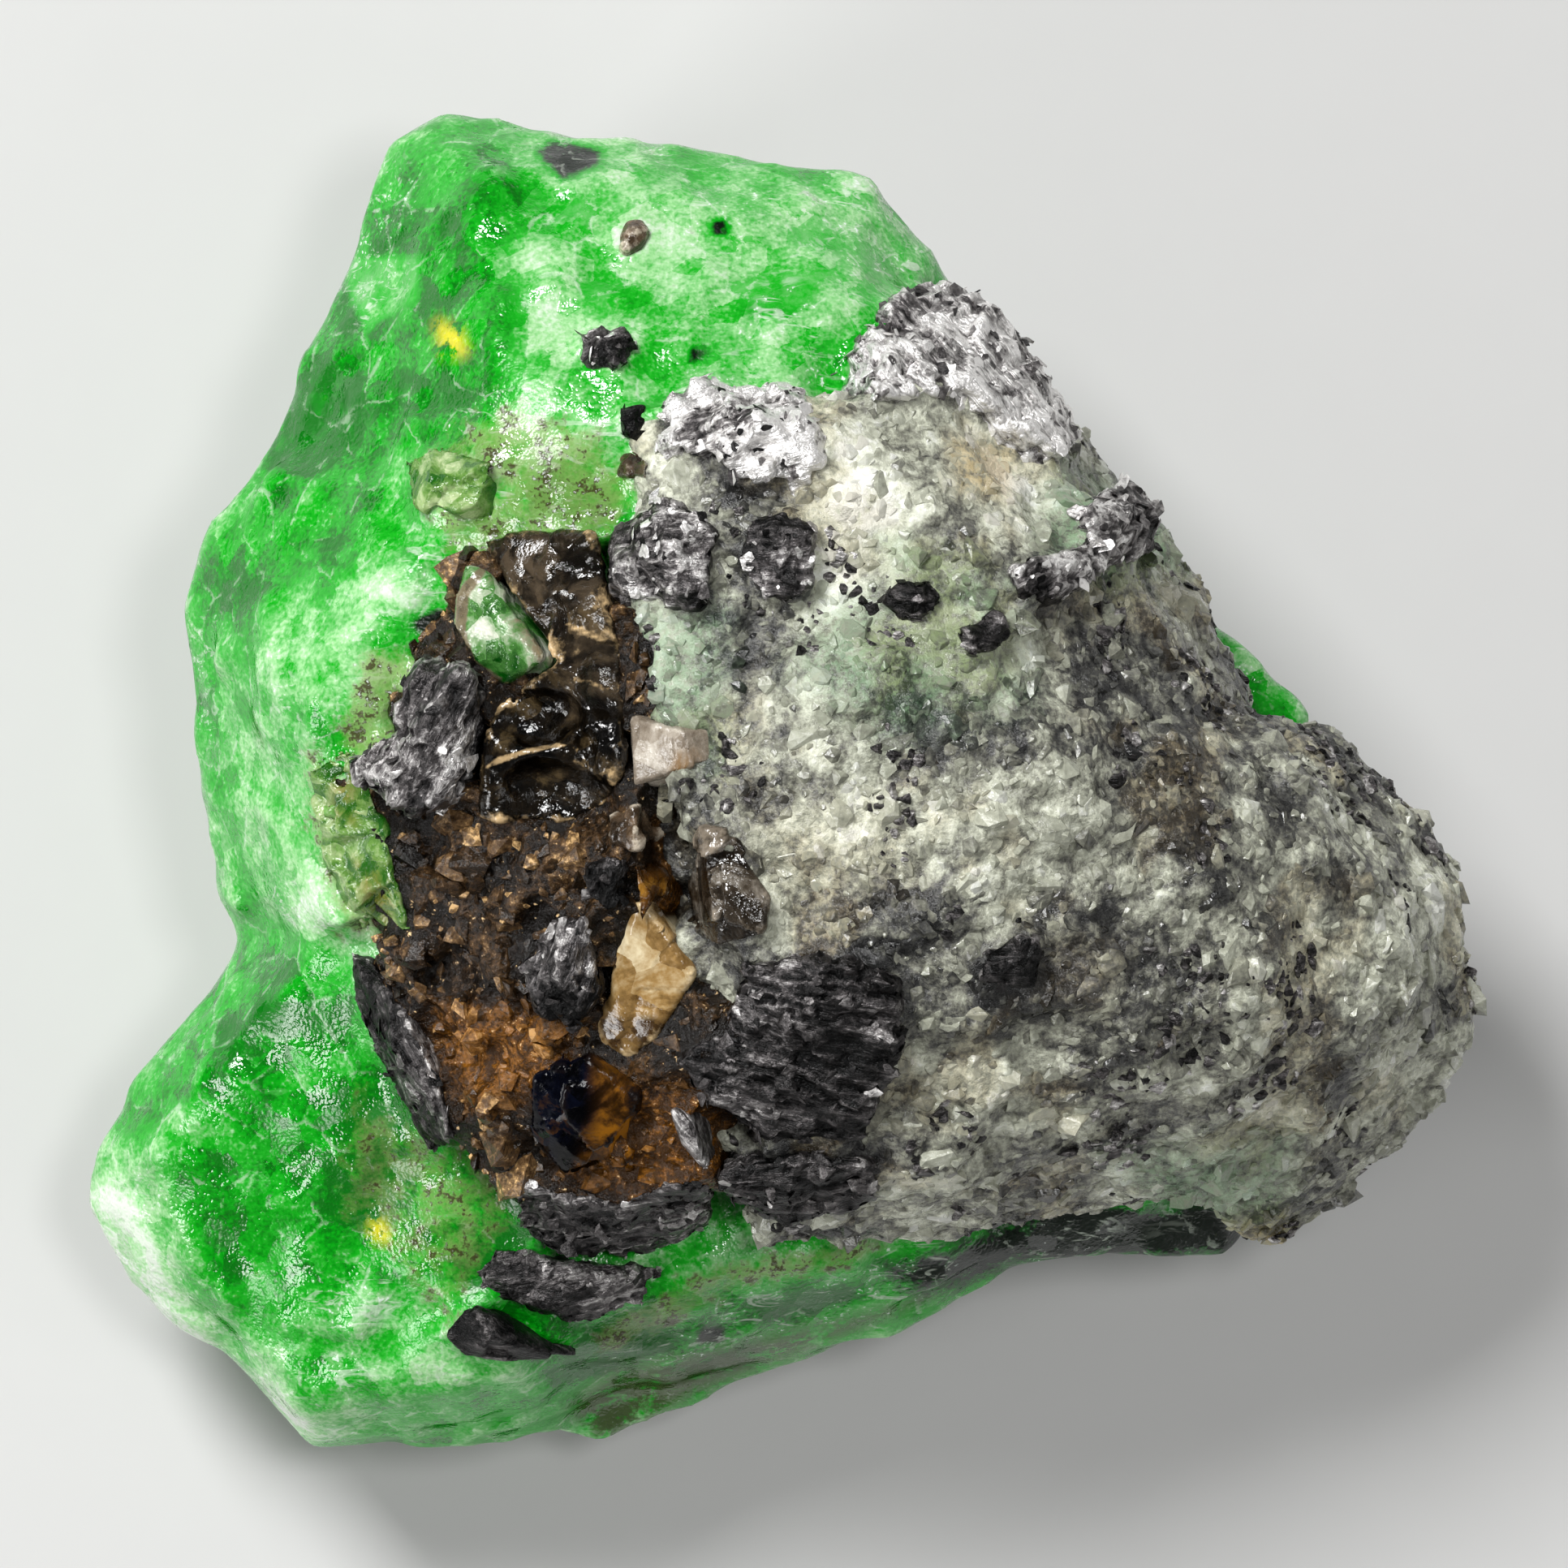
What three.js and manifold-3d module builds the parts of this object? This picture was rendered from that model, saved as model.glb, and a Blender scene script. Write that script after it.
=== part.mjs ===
// Tsavorite in matrix: green grossular garnet crystals grown together, half wrapped in graphite gneiss.
// The garnet is the base that the specimen lies on. The gneiss is seated in its back, an iron-stained
// crust fills the corner between them, and graphite, quartz and feldspar grains are set in all three.
// Millimetres, +Z up. The origin is under the middle of the specimen, on the surface it lies on.
// Seen from above, +X runs from the garnet towards the gneiss and +Y towards the larger crystal's tip.

import * as THREE from "three";
import { ConvexGeometry } from "three/addons/geometries/ConvexGeometry.js";
import { mergeVertices } from "three/addons/utils/BufferGeometryUtils.js";
import Module from "manifold-3d";

const wasm = await Module();
wasm.setup();

// Driving heights above the surface that the specimen lies on.
const FLOOR = 0; // the garnet's flat broken underside
const KEEL = 2.4; // underside of the gneiss where it overhangs the garnet
const WAIST = 6.5; // height of the widest outline
const SHOULDER = 11.5; // where the sides turn into the top
const CROWN = 15.5; // highest point of the gneiss

const SEAM = 0.2; // least clearance between two minerals that touch, about 0.3 on a slanting face
const PEAK = 0.6; // share of its height that a grain's middle stands above its rim
const DRAPE = 1.6; // how far a grain's rim may hang below its middle
const TAPER = 0.3; // how far a grain's root draws in towards its middle

// ---------------------------------------------------------------- solids

const point = ([x, y, z]) => new THREE.Vector3(x, y, z);

// A closed three.js geometry as a manifold-3d solid.
function solidOf(geometry) {
  const bare = geometry.clone();
  bare.deleteAttribute("normal");
  bare.deleteAttribute("uv");
  const merged = mergeVertices(bare, 1e-4);
  return new wasm.Manifold(
    new wasm.Mesh({
      numProp: 3,
      vertProperties: merged.getAttribute("position").array,
      triVerts: new Uint32Array(merged.index.array),
    }),
  );
}

// A manifold-3d solid as a three.js geometry.
function geometryOf(solid) {
  const { numProp, numVert, vertProperties, triVerts } = solid.getMesh();
  const positions = new Float32Array(numVert * 3);
  for (let i = 0; i < numVert; i++) {
    positions.set(vertProperties.subarray(i * numProp, i * numProp + 3), i * 3);
  }
  const geometry = new THREE.BufferGeometry();
  geometry.setAttribute("position", new THREE.BufferAttribute(positions, 3));
  geometry.setIndex(new THREE.BufferAttribute(new Uint32Array(triVerts), 1));
  geometry.computeVertexNormals();
  return geometry;
}

// The corners pushed out by a margin along each axis, so that their hull clears the first by it.
function pushedOut(corners, margin) {
  const signs = [-margin, margin];
  return corners.flatMap((corner) =>
    signs.flatMap((dx) =>
      signs.flatMap((dy) => signs.map((dz) => corner.clone().add(new THREE.Vector3(dx, dy, dz)))),
    ),
  );
}

const hull = (corners) => solidOf(new ConvexGeometry(corners));
const union = (solids) => solids.reduce((whole, next) => whole.add(next));

// A mineral body made of convex blocks that have grown into each other, each given by its corners.
function body(blocks) {
  return {
    solid: union(blocks.map(hull)),
    seat: union(blocks.map((corners) => hull(pushedOut(corners, SEAM)))),
  };
}

// The largest of the pieces that a cut leaves.
function largest(solid) {
  return solid.decompose().reduce((a, b) => (b.volume() > a.volume() ? b : a));
}

// ---------------------------------------------------------------- the three main bodies

const blocksOf = (blocks) => blocks.map((corners) => corners.map(point));

// The large crystal: a ridge from its tip to its middle, and a flat window face on the left.
const UPPER_TIP = [
  [-7.9, 12.8, 7.4], [-6.9, 13.5, 7.6], [-3.6, 12.9, 8.2], [0.6, 12.2, 8.4], [1.6, 12.2, 8.2],
  [2.9, 10.8, 7.8], [3.5, 9.7, 7.4], [-8.6, 10.9, 7.6], [-10.1, 7.3, 7.8],
  [-6.4, 12.3, 9.8], [-5.8, 8.8, 12.2], [-5.9, 6.0, 13.0], [-0.2, 11.2, 10.6], [1.6, 9.6, 11.6],
  [-1.6, 7.2, 13.6], [2.4, 6.4, 12.6],
  [-6.6, 10.6, FLOOR], [0.6, 9.4, FLOOR], [-8.6, 6.4, FLOOR], [4.0, 6.2, FLOOR],
];
const UPPER_BODY = [
  [-9.9, 7.5, 7.8], [-10.9, 6.1, 7.8], [-11.6, 4.9, 7.6], [-12.1, 3.4, 7.0], [-11.8, 0.5, WAIST],
  [-11.4, -2.3, 6.0],
  [-6.2, 5.8, 12.9], [-9.6, 1.8, 11.6], [-9.0, -3.0, 10.4], [-5.6, -2.0, 12.4], [-2.4, 6.0, 13.4],
  [-9.8, 4.2, FLOOR], [-9.4, -1.2, FLOOR], [-8.6, -3.0, FLOOR], [-6.0, 8.0, FLOOR],
  [2.0, 2.0, FLOOR],
];

// The smaller crystal, grown into the first at the notch on the left.
const LOWER_CRYSTAL = [
  [-10.9, -3.0, 5.6], [-13.1, -6.0, 5.2], [-14.0, -7.6, 4.8], [-14.0, -8.6, 4.5],
  [-13.2, -10.1, 4.3], [-12.2, -11.0, 4.1], [-11.5, -11.1, 4.2],
  [-8.4, -2.2, 9.8], [-12.6, -7.4, 7.0], [-11.6, -10.3, 6.4], [-8.6, -11.6, 7.0],
  [-4.6, -10.8, 8.4], [-4.6, -7.4, 9.6],
  [-8.8, -2.8, FLOOR], [-12.0, -7.8, FLOOR], [-10.4, -10.8, FLOOR], [-4.8, -10.8, FLOOR],
  [-2.0, -4.0, FLOOR],
];
const LOWER_FOOT = [
  [-11.6, -11.0, 4.2], [-10.3, -12.5, 4.0], [-9.5, -13.4, 3.9], [-6.8, -13.3, 3.9], [-4.4, -13.1, 3.6],
  [-11.2, -10.4, 6.3], [-9.7, -12.7, 6.2], [-6.7, -12.1, 7.2], [-5.2, -11.8, 7.5], [-7.0, -9.6, 8.2],
  [-10.0, -10.6, FLOOR], [-9.0, -11.8, FLOOR], [-4.6, -11.4, FLOOR], [-4.0, -8.0, FLOOR],
];

// Garnet that runs on under the gneiss, seen as a dark green band along its lower edge.
const UNDER_BAND = [
  [-5.6, -11.6, 7.3], [-1.4, -9.6, 8.2], [3.4, -9.2, 7.0], [2.2, -11.1, 4.6], [4.8, -9.7, 4.6],
  [-5.0, -12.6, 4.2], [-3.0, 0.0, 8.0], [2.0, 0.0, 7.0],
  [-5.6, -11.0, FLOOR], [2.0, -9.4, FLOOR], [4.0, -8.2, FLOOR], [3.0, 3.0, FLOOR], [-6.0, 2.0, FLOOR],
];
const UNDER_RIGHT = [
  [1.0, -9.6, 6.6], [4.8, -9.7, 5.2], [7.0, -9.5, 5.0], [9.0, -9.5, 4.6], [9.6, -8.8, 4.2],
  [8.8, 3.0, 5.7], [9.7, 2.4, 5.5], [10.6, 1.4, 5.1], [10.4, 0.6, 4.8], [8.6, -7.6, 6.4],
  [3.0, 3.6, 7.0], [5.0, 6.2, 4.4], [7.2, 4.4, 4.6],
  [3.0, -7.8, FLOOR], [7.6, -7.6, FLOOR], [9.0, -0.4, FLOOR], [7.4, 2.4, FLOOR], [3.8, 6.2, FLOOR],
];
// A thin ledge of pale garnet at the foot of the band.
const LEDGE = [
  [-4.6, -12.8, 2.6], [-3.9, -13.5, 3.0], [-3.2, -13.1, 3.1], [-1.9, -12.2, 3.4],
  [-0.2, -11.8, 3.6], [2.0, -11.0, 4.0], [-4.0, -11.0, 4.4], [1.0, -9.6, 4.4],
  [-4.4, -11.0, FLOOR], [0.4, -9.6, FLOOR],
];
const GARNET = blocksOf([
  UPPER_TIP, UPPER_BODY, LOWER_CRYSTAL, LOWER_FOOT, UNDER_BAND, UNDER_RIGHT, LEDGE,
]);

// The gneiss: a lump with its top towards the garnet, a blunt nose on the right and a brow above.
const GNEISS_MIDDLE = [
  [8.2, 4.4, WAIST], [8.8, 3.0, WAIST], [9.4, 1.5, WAIST], [8.6, -8.4, 6.6], [5.6, -8.6, 7.4],
  [3.8, -9.1, 7.8], [2.2, -9.3, 8.4], [-0.6, -9.3, 9.0],
  [6.6, 4.6, SHOULDER], [8.2, 2.0, SHOULDER], [3.2, -7.8, 12.0], [0.2, -8.0, 12.0],
  [3.6, 3.2, 14.8], [1.4, 2.4, CROWN], [5.2, 0.4, 15.0], [8.0, -2.0, 13.4], [5.6, -4.4, 14.0],
  [1.6, -4.6, 14.6], [-1.8, -2.0, 14.6], [-2.4, 2.2, 14.8],
  [6.4, 2.2, 5.0], [8.0, -6.4, 5.0], [-1.0, -7.6, 6.0], [-2.6, 2.0, 7.0],
];
const GNEISS_NOSE = [
  [10.5, 1.2, 6.2], [11.3, 1.1, WAIST], [11.9, 0.4, WAIST], [12.8, -0.4, WAIST], [13.6, -1.7, WAIST],
  [14.0, -3.1, WAIST], [13.8, -5.3, 6.4], [12.7, -7.1, 6.0], [11.3, -8.6, 5.4], [10.1, -9.4, 5.0],
  [9.2, -9.0, 5.8],
  [9.4, 0.8, 10.8], [11.4, -1.4, 10.6], [12.3, -4.2, 10.0], [10.6, -6.8, 9.6], [7.2, -7.2, 11.2],
  [7.6, 1.2, 12.6], [5.4, 1.8, 14.3], [8.0, -1.6, 13.7], [9.4, -4.4, 12.4], [5.6, -4.4, 14.0],
  [4.0, -7.2, 11.9],
  [11.2, -1.4, KEEL], [11.4, -5.0, KEEL], [9.4, -7.4, KEEL], [5.0, -2.0, 6.0],
];
const GNEISS_BROW = [
  [4.3, 8.8, 7.6], [5.6, 6.7, 7.2], [6.9, 5.9, WAIST], [8.0, 4.9, WAIST], [8.2, 4.2, WAIST],
  [3.4, 8.4, 11.6], [5.0, 6.6, SHOULDER], [7.0, 4.6, SHOULDER], [1.0, 7.4, 14.0], [-1.2, 6.4, 14.4],
  [3.0, 5.6, 14.6], [4.6, 3.0, 14.6], [-3.1, 5.7, 13.9], [-2.5, 6.9, 13.7], [-3.0, 4.0, 14.4],
  [-2.6, 1.6, 14.8],
  [5.6, 5.2, 4.6], [6.8, 3.0, 4.6], [0.0, 5.0, 7.0], [-2.0, 1.0, 7.0],
];
const GNEISS = blocksOf([GNEISS_MIDDLE, GNEISS_NOSE, GNEISS_BROW]);

// The crust: weathered, iron-stained rock between the garnet and the gneiss.
const CRUST_UPPER = [
  [-8.3, 0.2, 11.4], [-8.4, -2.4, 11.2], [-7.9, -3.8, 10.8], [-6.4, 2.2, 12.6], [-6.4, 4.6, 12.8],
  [-3.4, 5.2, 13.6], [-2.6, 2.0, 14.0], [-2.2, -2.6, 14.0], [-5.0, -0.6, 13.4], [-4.2, -4.0, 13.2],
  [-7.4, -2.0, 8.4], [-5.6, 3.4, 9.4], [-2.4, -2.0, 9.0], [-3.6, 3.6, 9.0],
];
const CRUST_LOWER = [
  [-8.2, -4.2, 10.4], [-7.0, -6.9, 10.0], [-5.4, -8.2, 10.2], [-3.2, -8.6, 10.6], [-1.2, -7.8, 12.2],
  [-1.4, -4.6, 13.8], [-4.4, -3.2, 13.0], [-6.8, -3.0, 12.0], [-4.6, -6.4, 12.2],
  [-7.0, -4.6, 8.0], [-5.0, -7.0, 7.8], [-1.4, -6.8, 8.4], [-2.6, -3.2, 8.4],
];
const CRUST = blocksOf([CRUST_UPPER, CRUST_LOWER]);

// The hollow in the smoky quartz where a flake of it has broken out.
const HOLLOW = [
  [-5.7, 1.1, 15.0], [-3.5, 1.3, 15.2], [-3.5, 0.0, 15.2], [-4.6, -0.6, 15.0], [-5.7, -0.4, 15.0],
  [-5.2, 0.8, 12.2], [-3.9, 0.9, 12.6], [-4.2, -0.1, 12.4], [-5.2, 0.0, 12.0],
].map(point);

const gneiss = body(GNEISS);
const crust = body(CRUST);
const hollow = hull(HOLLOW);
const gneissSolid = gneiss.solid;
const crustSolid = largest(crust.solid.subtract(gneiss.seat));
const garnetSolid = largest(union(GARNET.map(hull)).subtract(gneiss.seat).subtract(crust.seat));

// ---------------------------------------------------------------- grains set in their surface

const DOWN = new THREE.Vector3(0, 0, -1);
const ABOVE = CROWN + 10;
const hosts = [garnetSolid, gneissSolid, crustSolid].map((solid) => new THREE.Mesh(geometryOf(solid)));
const ray = new THREE.Raycaster();

// Where a plumb line at x, y meets the specimen, and the way that surface faces.
function surfaceAt(x, y) {
  ray.set(new THREE.Vector3(x, y, ABOVE), DOWN);
  const hit = ray.intersectObjects(hosts)[0];
  return hit && { at: hit.point, facing: hit.face.normal };
}

// A grain's corners: its outline laid on the surface, raised by `proud` and rooted by `deep`.
function grainCorners({ outline, proud, deep }) {
  const total = outline.reduce(([sumX, sumY], [x, y]) => [sumX + x, sumY + y]);
  const centre = surfaceAt(total[0] / outline.length, total[1] / outline.length);
  const corners = [];
  for (const [x, y] of outline) {
    const rim = surfaceAt(x, y) ?? centre;
    const height = Math.max(rim.at.z, centre.at.z - DRAPE);
    corners.push(new THREE.Vector3(x, y, height).addScaledVector(centre.facing, proud));
    const root = new THREE.Vector3(x, y, height).lerp(centre.at, TAPER);
    corners.push(root.addScaledVector(centre.facing, -deep));
  }
  corners.push(centre.at.clone().addScaledVector(centre.facing, proud * (1 + PEAK)));
  return corners;
}

// An uneven outline for a small grain, from its middle, half sizes and turn.
function roundOutline([x, y], [halfLong, halfWide], turnDegrees, sides) {
  const turn = THREE.MathUtils.degToRad(turnDegrees);
  return Array.from({ length: sides }, (_, i) => {
    const angle = (i / sides) * 2 * Math.PI;
    const uneven = 1 + 0.16 * Math.sin(3.7 * i + x);
    const along = halfLong * uneven * Math.cos(angle);
    const across = halfWide * uneven * Math.sin(angle);
    return [
      x + along * Math.cos(turn) - across * Math.sin(turn),
      y + along * Math.sin(turn) + across * Math.cos(turn),
    ];
  });
}

// name, finish, height above the surface, depth of its root, outline or outlines seen from above
const GRAINS = [
  // graphite
  ["graphite_plate_top", "graphite", 0.5, 1.2,
    [[1.1, 8.6], [1.9, 9.6], [2.7, 9.9], [3.6, 9.5], [4.1, 8.9], [4.1, 8.2], [3.4, 7.6],
      [1.5, 7.5], [1.1, 7.9]],
    [[3.6, 9.3], [4.3, 8.7], [4.9, 7.7], [5.6, 6.6], [5.2, 6.2], [4.2, 6.9], [3.2, 7.7]]],
  ["graphite_foil_centre", "graphite", 0.35, 0.9,
    [[-2.3, 7.3], [-1.7, 7.7], [0.4, 7.7], [0.4, 6.9], [0.8, 6.2], [-0.2, 5.9], [-1.6, 6.4], [-2.4, 6.6]]],
  ["graphite_lump_centre", "graphite", 0.55, 1.2,
    [[-3.2, 5.0], [-2.3, 5.7], [-1.5, 5.3], [-1.2, 4.9], [-1.5, 4.0], [-1.6, 3.3], [-2.9, 3.2],
      [-3.4, 3.9]]],
  ["graphite_lump_inner", "graphite", 0.4, 0.9,
    [[-0.9, 4.3], [-0.6, 5.1], [0.0, 5.3], [0.6, 5.0], [0.5, 4.2], [0.7, 3.7], [-0.4, 3.6]]],
  ["graphite_flake_upper", "graphite", 0.35, 0.5,
    [[-4.1, 8.8], [-3.6, 8.7], [-3.1, 8.9], [-3.0, 8.2], [-3.4, 8.0], [-3.9, 8.3]]],
  ["graphite_flake_corner", "graphite", 0.3, 0.5,
    [[-3.2, 7.4], [-2.7, 7.5], [-2.6, 7.0], [-2.8, 6.8], [-3.1, 6.9]]],
  ["graphite_chunk_left", "graphite", 0.9, 0.9,
    [[-6.8, 2.3], [-5.9, 2.3], [-5.8, 1.8], [-6.1, 0.6], [-6.8, 0.2], [-7.4, 1.4]],
    [[-6.9, 1.4], [-6.0, 0.8], [-6.2, -0.3], [-6.7, -0.5], [-7.1, 0.0], [-7.9, 0.1], [-8.1, 0.5]]],
  ["graphite_streak_right", "graphite", 0.4, 0.8,
    [[4.3, 4.2], [5.4, 4.5], [6.4, 4.8], [6.2, 4.1], [5.3, 3.6], [4.5, 3.6]],
    [[5.6, 5.3], [6.6, 5.9], [7.3, 5.3], [7.1, 4.4], [6.0, 4.3]]],
  ["graphite_grain_upper", "graphite", 0.25, 0.5, roundOutline([2.5, 3.6], [0.6, 0.42], 10, 7)],
  ["graphite_grain_middle", "graphite", 0.25, 0.5, roundOutline([4.0, 3.0], [0.5, 0.4], 30, 7)],
  ["graphite_grain_lower", "graphite", 0.25, 0.5, roundOutline([4.5, -3.5], [0.65, 0.55], 0, 7)],
  ["graphite_rim_left", "graphite", 0.3, 0.7,
    [[-8.5, -3.2], [-8.1, -3.3], [-7.3, -4.6], [-6.8, -5.6], [-6.4, -7.0], [-6.9, -7.2],
      [-7.7, -5.8], [-8.4, -4.2]]],
  ["graphite_lump_middle", "graphite", 0.6, 0.9,
    [[-4.4, -2.6], [-3.7, -2.5], [-3.5, -4.1], [-3.9, -4.8], [-4.6, -4.6], [-5.1, -3.6]]],
  ["graphite_seam_middle", "graphite", 0.3, 0.6,
    [[-3.8, -1.5], [-3.2, -1.5], [-3.1, -2.3], [-3.4, -2.5], [-3.9, -2.2]]],
  ["graphite_mass_lower", "graphite", 0.5, 1.3,
    [[-0.6, -3.4], [1.4, -3.2], [2.4, -3.8], [2.5, -5.3], [0.4, -5.2], [-1.0, -4.6]],
    [[-1.0, -4.6], [0.6, -5.0], [2.3, -5.4], [1.8, -6.8], [0.0, -6.9], [-1.1, -6.1], [-2.0, -5.3]]],
  ["graphite_blade_lower", "graphite", 0.3, 0.6,
    [[-2.2, -6.3], [-1.8, -6.5], [-1.2, -7.4], [-1.1, -7.8], [-1.5, -7.5], [-2.0, -6.9]]],
  ["graphite_sheet_right", "graphite", 0.35, 0.9,
    [[-0.9, -7.0], [0.5, -7.2], [2.0, -7.4], [1.9, -8.2], [0.2, -8.6], [-0.9, -8.2], [-1.3, -7.6]]],
  ["graphite_sheet_lower", "graphite", 0.6, 0.8,
    [[-5.2, -7.9], [-4.3, -8.4], [-2.9, -8.4], [-3.0, -9.4], [-4.5, -9.3], [-5.2, -8.8]],
    [[-3.4, -8.4], [-2.4, -8.0], [-1.4, -7.8], [-1.4, -8.7], [-2.2, -9.2], [-3.2, -9.4]]],
  ["graphite_lobe_lower", "graphite", 0.6, 0.8,
    [[-5.8, -9.8], [-5.3, -9.2], [-4.4, -9.4], [-3.0, -9.6], [-3.3, -10.2], [-4.4, -10.8], [-5.5, -10.4]]],
  ["graphite_tip_lower", "graphite", 0.45, 0.6,
    [[-6.7, -10.9], [-6.3, -10.3], [-5.8, -10.5], [-4.7, -11.0], [-4.0, -11.3], [-5.3, -11.4],
      [-6.3, -11.3]]],
  // quartz
  ["golden_quartz_crystal", "golden_quartz", 0.7, 0.9,
    [[-3.1, -3.0], [-2.0, -3.0], [-1.8, -3.6], [-2.1, -4.4], [-2.8, -4.8], [-3.4, -4.4], [-3.5, -3.8]]],
  ["smoky_quartz_shell", "smoky_quartz", 0.25, 1.6,
    [[-5.9, 4.8], [-5.0, 5.0], [-3.7, 5.0], [-3.4, 3.6], [-3.2, 2.2], [-4.2, 2.2], [-5.2, 3.6]],
    [[-5.8, 1.5], [-4.4, 2.4], [-3.2, 2.4], [-3.1, 0.2], [-3.6, -0.5], [-4.6, -0.9], [-6.0, -0.7]]],
  ["clear_quartz_window", "clear_quartz", 0.25, 0.9,
    [[-6.2, 4.3], [-5.6, 4.0], [-4.6, 3.0], [-4.4, 2.2], [-5.2, 1.9], [-5.9, 2.3], [-6.4, 3.2]]],
  ["smoky_quartz_grain", "smoky_quartz", 0.4, 0.9,
    [[-1.9, -1.9], [-1.6, -0.8], [-0.8, -1.0], [-0.2, -2.2], [-0.4, -3.0], [-1.3, -3.2], [-1.8, -2.7]]],
  ["orange_quartz_grain", "orange_quartz", 0.25, 0.7,
    [[-2.9, -1.6], [-2.2, -1.5], [-2.0, -2.1], [-2.2, -2.8], [-2.8, -2.8], [-2.9, -2.2]]],
  ["brown_quartz_grain", "brown_quartz", 0.4, 0.7,
    [[-3.4, -0.7], [-2.8, -0.4], [-2.2, -0.5], [-2.1, -1.0], [-2.8, -1.3], [-3.4, -1.2]]],
  ["brown_grain_upper", "brown_quartz", 0.22, 0.4, roundOutline([-3.0, 10.8], [0.3, 0.24], 60, 6)],
  ["brown_grain_middle", "brown_quartz", 0.25, 0.4, roundOutline([-3.0, 6.4], [0.34, 0.3], 20, 6)],
  // the rest
  ["feldspar_grain", "feldspar", 0.3, 0.9,
    [[-2.9, 1.4], [-1.7, 1.1], [-1.5, 0.4], [-2.1, -0.1], [-2.9, 0.0]]],
  ["stained_dark_crystal", "dark_crystal", 0.3, 1.0,
    [[-4.9, -5.7], [-3.8, -5.3], [-2.9, -6.0], [-3.0, -7.3], [-4.3, -7.6], [-5.0, -6.8]]],
  ["pale_garnet_grain", "pale_garnet", 0.3, 0.6,
    [[-7.4, 6.3], [-6.6, 6.6], [-5.6, 6.1], [-5.9, 5.4], [-6.4, 5.2], [-7.1, 5.4]]],
  ["pale_garnet_rim", "pale_garnet", 0.25, 0.6,
    [[-9.1, 0.8], [-8.7, 0.8], [-8.1, -0.9], [-7.7, -2.9], [-8.2, -3.1], [-8.8, -1.4]]],
];

// ---------------------------------------------------------------- finishes

const FINISHES = {
  tsavorite: [0x1c8a3a, 0.25, 0],
  gneiss: [0x8c8d84, 0.75, 0],
  crust: [0x5a3d1f, 0.6, 0],
  graphite: [0x3b3b40, 0.35, 0.6],
  golden_quartz: [0xb98a4e, 0.15, 0],
  smoky_quartz: [0x5a5048, 0.2, 0],
  clear_quartz: [0x8fae8c, 0.15, 0],
  orange_quartz: [0x8a5316, 0.3, 0],
  brown_quartz: [0x6a5240, 0.35, 0],
  feldspar: [0xa99a8a, 0.5, 0],
  dark_crystal: [0x14161f, 0.2, 0.3],
  pale_garnet: [0x9cc07a, 0.3, 0],
};
const materials = Object.fromEntries(
  Object.entries(FINISHES).map(([name, [color, roughness, metalness]]) => [
    name,
    new THREE.MeshStandardMaterial({ name, color, roughness, metalness, flatShading: true }),
  ]),
);

// ---------------------------------------------------------------- assembly

const specimen = new THREE.Group();
specimen.name = "tsavorite_in_matrix";

function add(name, solid, finish) {
  const mesh = new THREE.Mesh(geometryOf(solid), materials[finish]);
  mesh.name = name;
  specimen.add(mesh);
}

const HOLLOWED = "smoky_quartz_shell";
let pockets = null; // everything that the grains set so far take out of what they sit in
for (const [name, finish, proud, deep, ...outlines] of GRAINS) {
  const blocks = outlines.map((outline) => grainCorners({ outline, proud, deep }));
  const { solid, seat } = body(blocks);
  const trimmed = pockets ? solid.subtract(pockets) : solid;
  add(name, largest(name === HOLLOWED ? trimmed.subtract(hollow) : trimmed), finish);
  pockets = pockets ? pockets.add(seat) : seat;
}

add("tsavorite", largest(garnetSolid.subtract(pockets)), "tsavorite");
add("gneiss_matrix", largest(gneissSolid.subtract(pockets)), "gneiss");
add("iron_stained_crust", largest(crustSolid.subtract(pockets)), "crust");

// The outline is centred on the origin in plan.
const box = new THREE.Box3().setFromObject(specimen);
const middle = box.getCenter(new THREE.Vector3());
specimen.position.set(-middle.x, -middle.y, -box.min.z);

export default specimen;
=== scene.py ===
"""Tsavorite in matrix: the finished surfaces of the specimen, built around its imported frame.

Each mineral is a skin grown from its solid in the frame, broken and weathered in numpy, seated round
its neighbours on a grid of distances, and dressed with a finish made of shader nodes. Lengths are in
millimetres until a mesh is made, then in metres.
"""

import itertools
import logging
import math
from dataclasses import dataclass, field
from enum import Enum
from typing import Optional, Sequence, Union

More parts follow.
